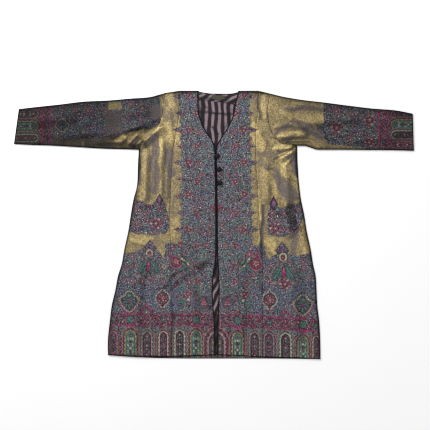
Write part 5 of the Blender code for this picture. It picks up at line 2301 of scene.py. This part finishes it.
wear(plain_weave_finish("black binding", dye(14, 12, 16), 0.8), *binding_pieces, *loop_pieces)
wear(plain_weave_finish("dark button", dye(17, 14, 22), 0.5), *button_pieces)
wear(plain_weave_finish("label weave", dye(70, 66, 52), 0.5, 1400.0), label_piece)
dark_thread = plain_weave_finish("dark thread", dye(40, 32, 40), 0.7, 2200.0)
wear(dark_thread, stitches, loop_tacks, label_stitches)
wear(plain_weave_finish("pale thread", dye(176, 166, 166), 0.8, 2200.0), picks)
print("finishes:", [finish.name for finish in bpy.data.materials])

# %% [markdown]
# ## Table, light and camera
# The jacket lies on a pale table under soft light, mostly from the upper left, so that the
# folds show. The camera looks straight down and takes in the same width as the photograph.

# %% Stage
PICTURE_WIDE = 1.505
PICTURE_MIDDLE = (0.00375, 0.035)
CAMERA_HIGH = 3.4
SENSOR = 36.0
TABLE_HALF = 6.0
TABLE_DROP = 0.0002
ROOM_LIGHT = 0.64

bm = bmesh.new()
bmesh.ops.create_grid(bm, x_segments=2, y_segments=2, size=TABLE_HALF)
bmesh.ops.translate(bm, verts=bm.verts[:], vec=(0, 0, -TABLE_DROP))
floor_mesh = bpy.data.meshes.new("table")
bm.to_mesh(floor_mesh)
bm.free()
floor = bpy.data.objects.new("table", floor_mesh)
bpy.context.scene.collection.objects.link(floor)
table_finish, tree, shader, spot = start_finish("pale table", 0.9)
grain = noise_node(tree, spot, 3).outputs["Fac"]
plug(tree, [shader.inputs["Base Color"]], [mix_colour(tree, grain, (0.92,) * 3, (0.94,) * 3)])
wear(table_finish, floor)

world = bpy.data.worlds.new("studio")
bpy.context.scene.world = world
world.use_nodes = True
sky = world.node_tree.nodes["Background"].inputs
sky["Color"].default_value = (1, 1, 1, 1)
sky["Strength"].default_value = ROOM_LIGHT

Lamp = namedtuple("Lamp", "name x y z size power")
LAMPS = [
    Lamp("key", -1.5, 2.1, 2.1, 1.4, 82),
    Lamp("fill", 2.4, -1.0, 2.6, 2.6, 16),
]
for lamp in LAMPS:
    light = bpy.data.lights.new(lamp.name, "AREA")
    light.size = lamp.size
    light.energy = lamp.power
    holder = bpy.data.objects.new(lamp.name, light)
    bpy.context.scene.collection.objects.link(holder)
    holder.location = (lamp.x, lamp.y, lamp.z)
    holder.rotation_euler = (-holder.location).to_track_quat("-Z", "Y").to_euler()

camera_data = bpy.data.cameras.new("camera")
camera_data.sensor_width = SENSOR
camera_data.lens = SENSOR * CAMERA_HIGH / PICTURE_WIDE
camera = bpy.data.objects.new("camera", camera_data)
camera.location = (*PICTURE_MIDDLE, CAMERA_HIGH)
bpy.context.scene.collection.objects.link(camera)
bpy.context.scene.camera = camera
bpy.context.scene.view_settings.view_transform = "Standard"
bpy.context.scene.cycles.filter_width = 1.1
print("camera lens", round(camera_data.lens, 1), "mm")
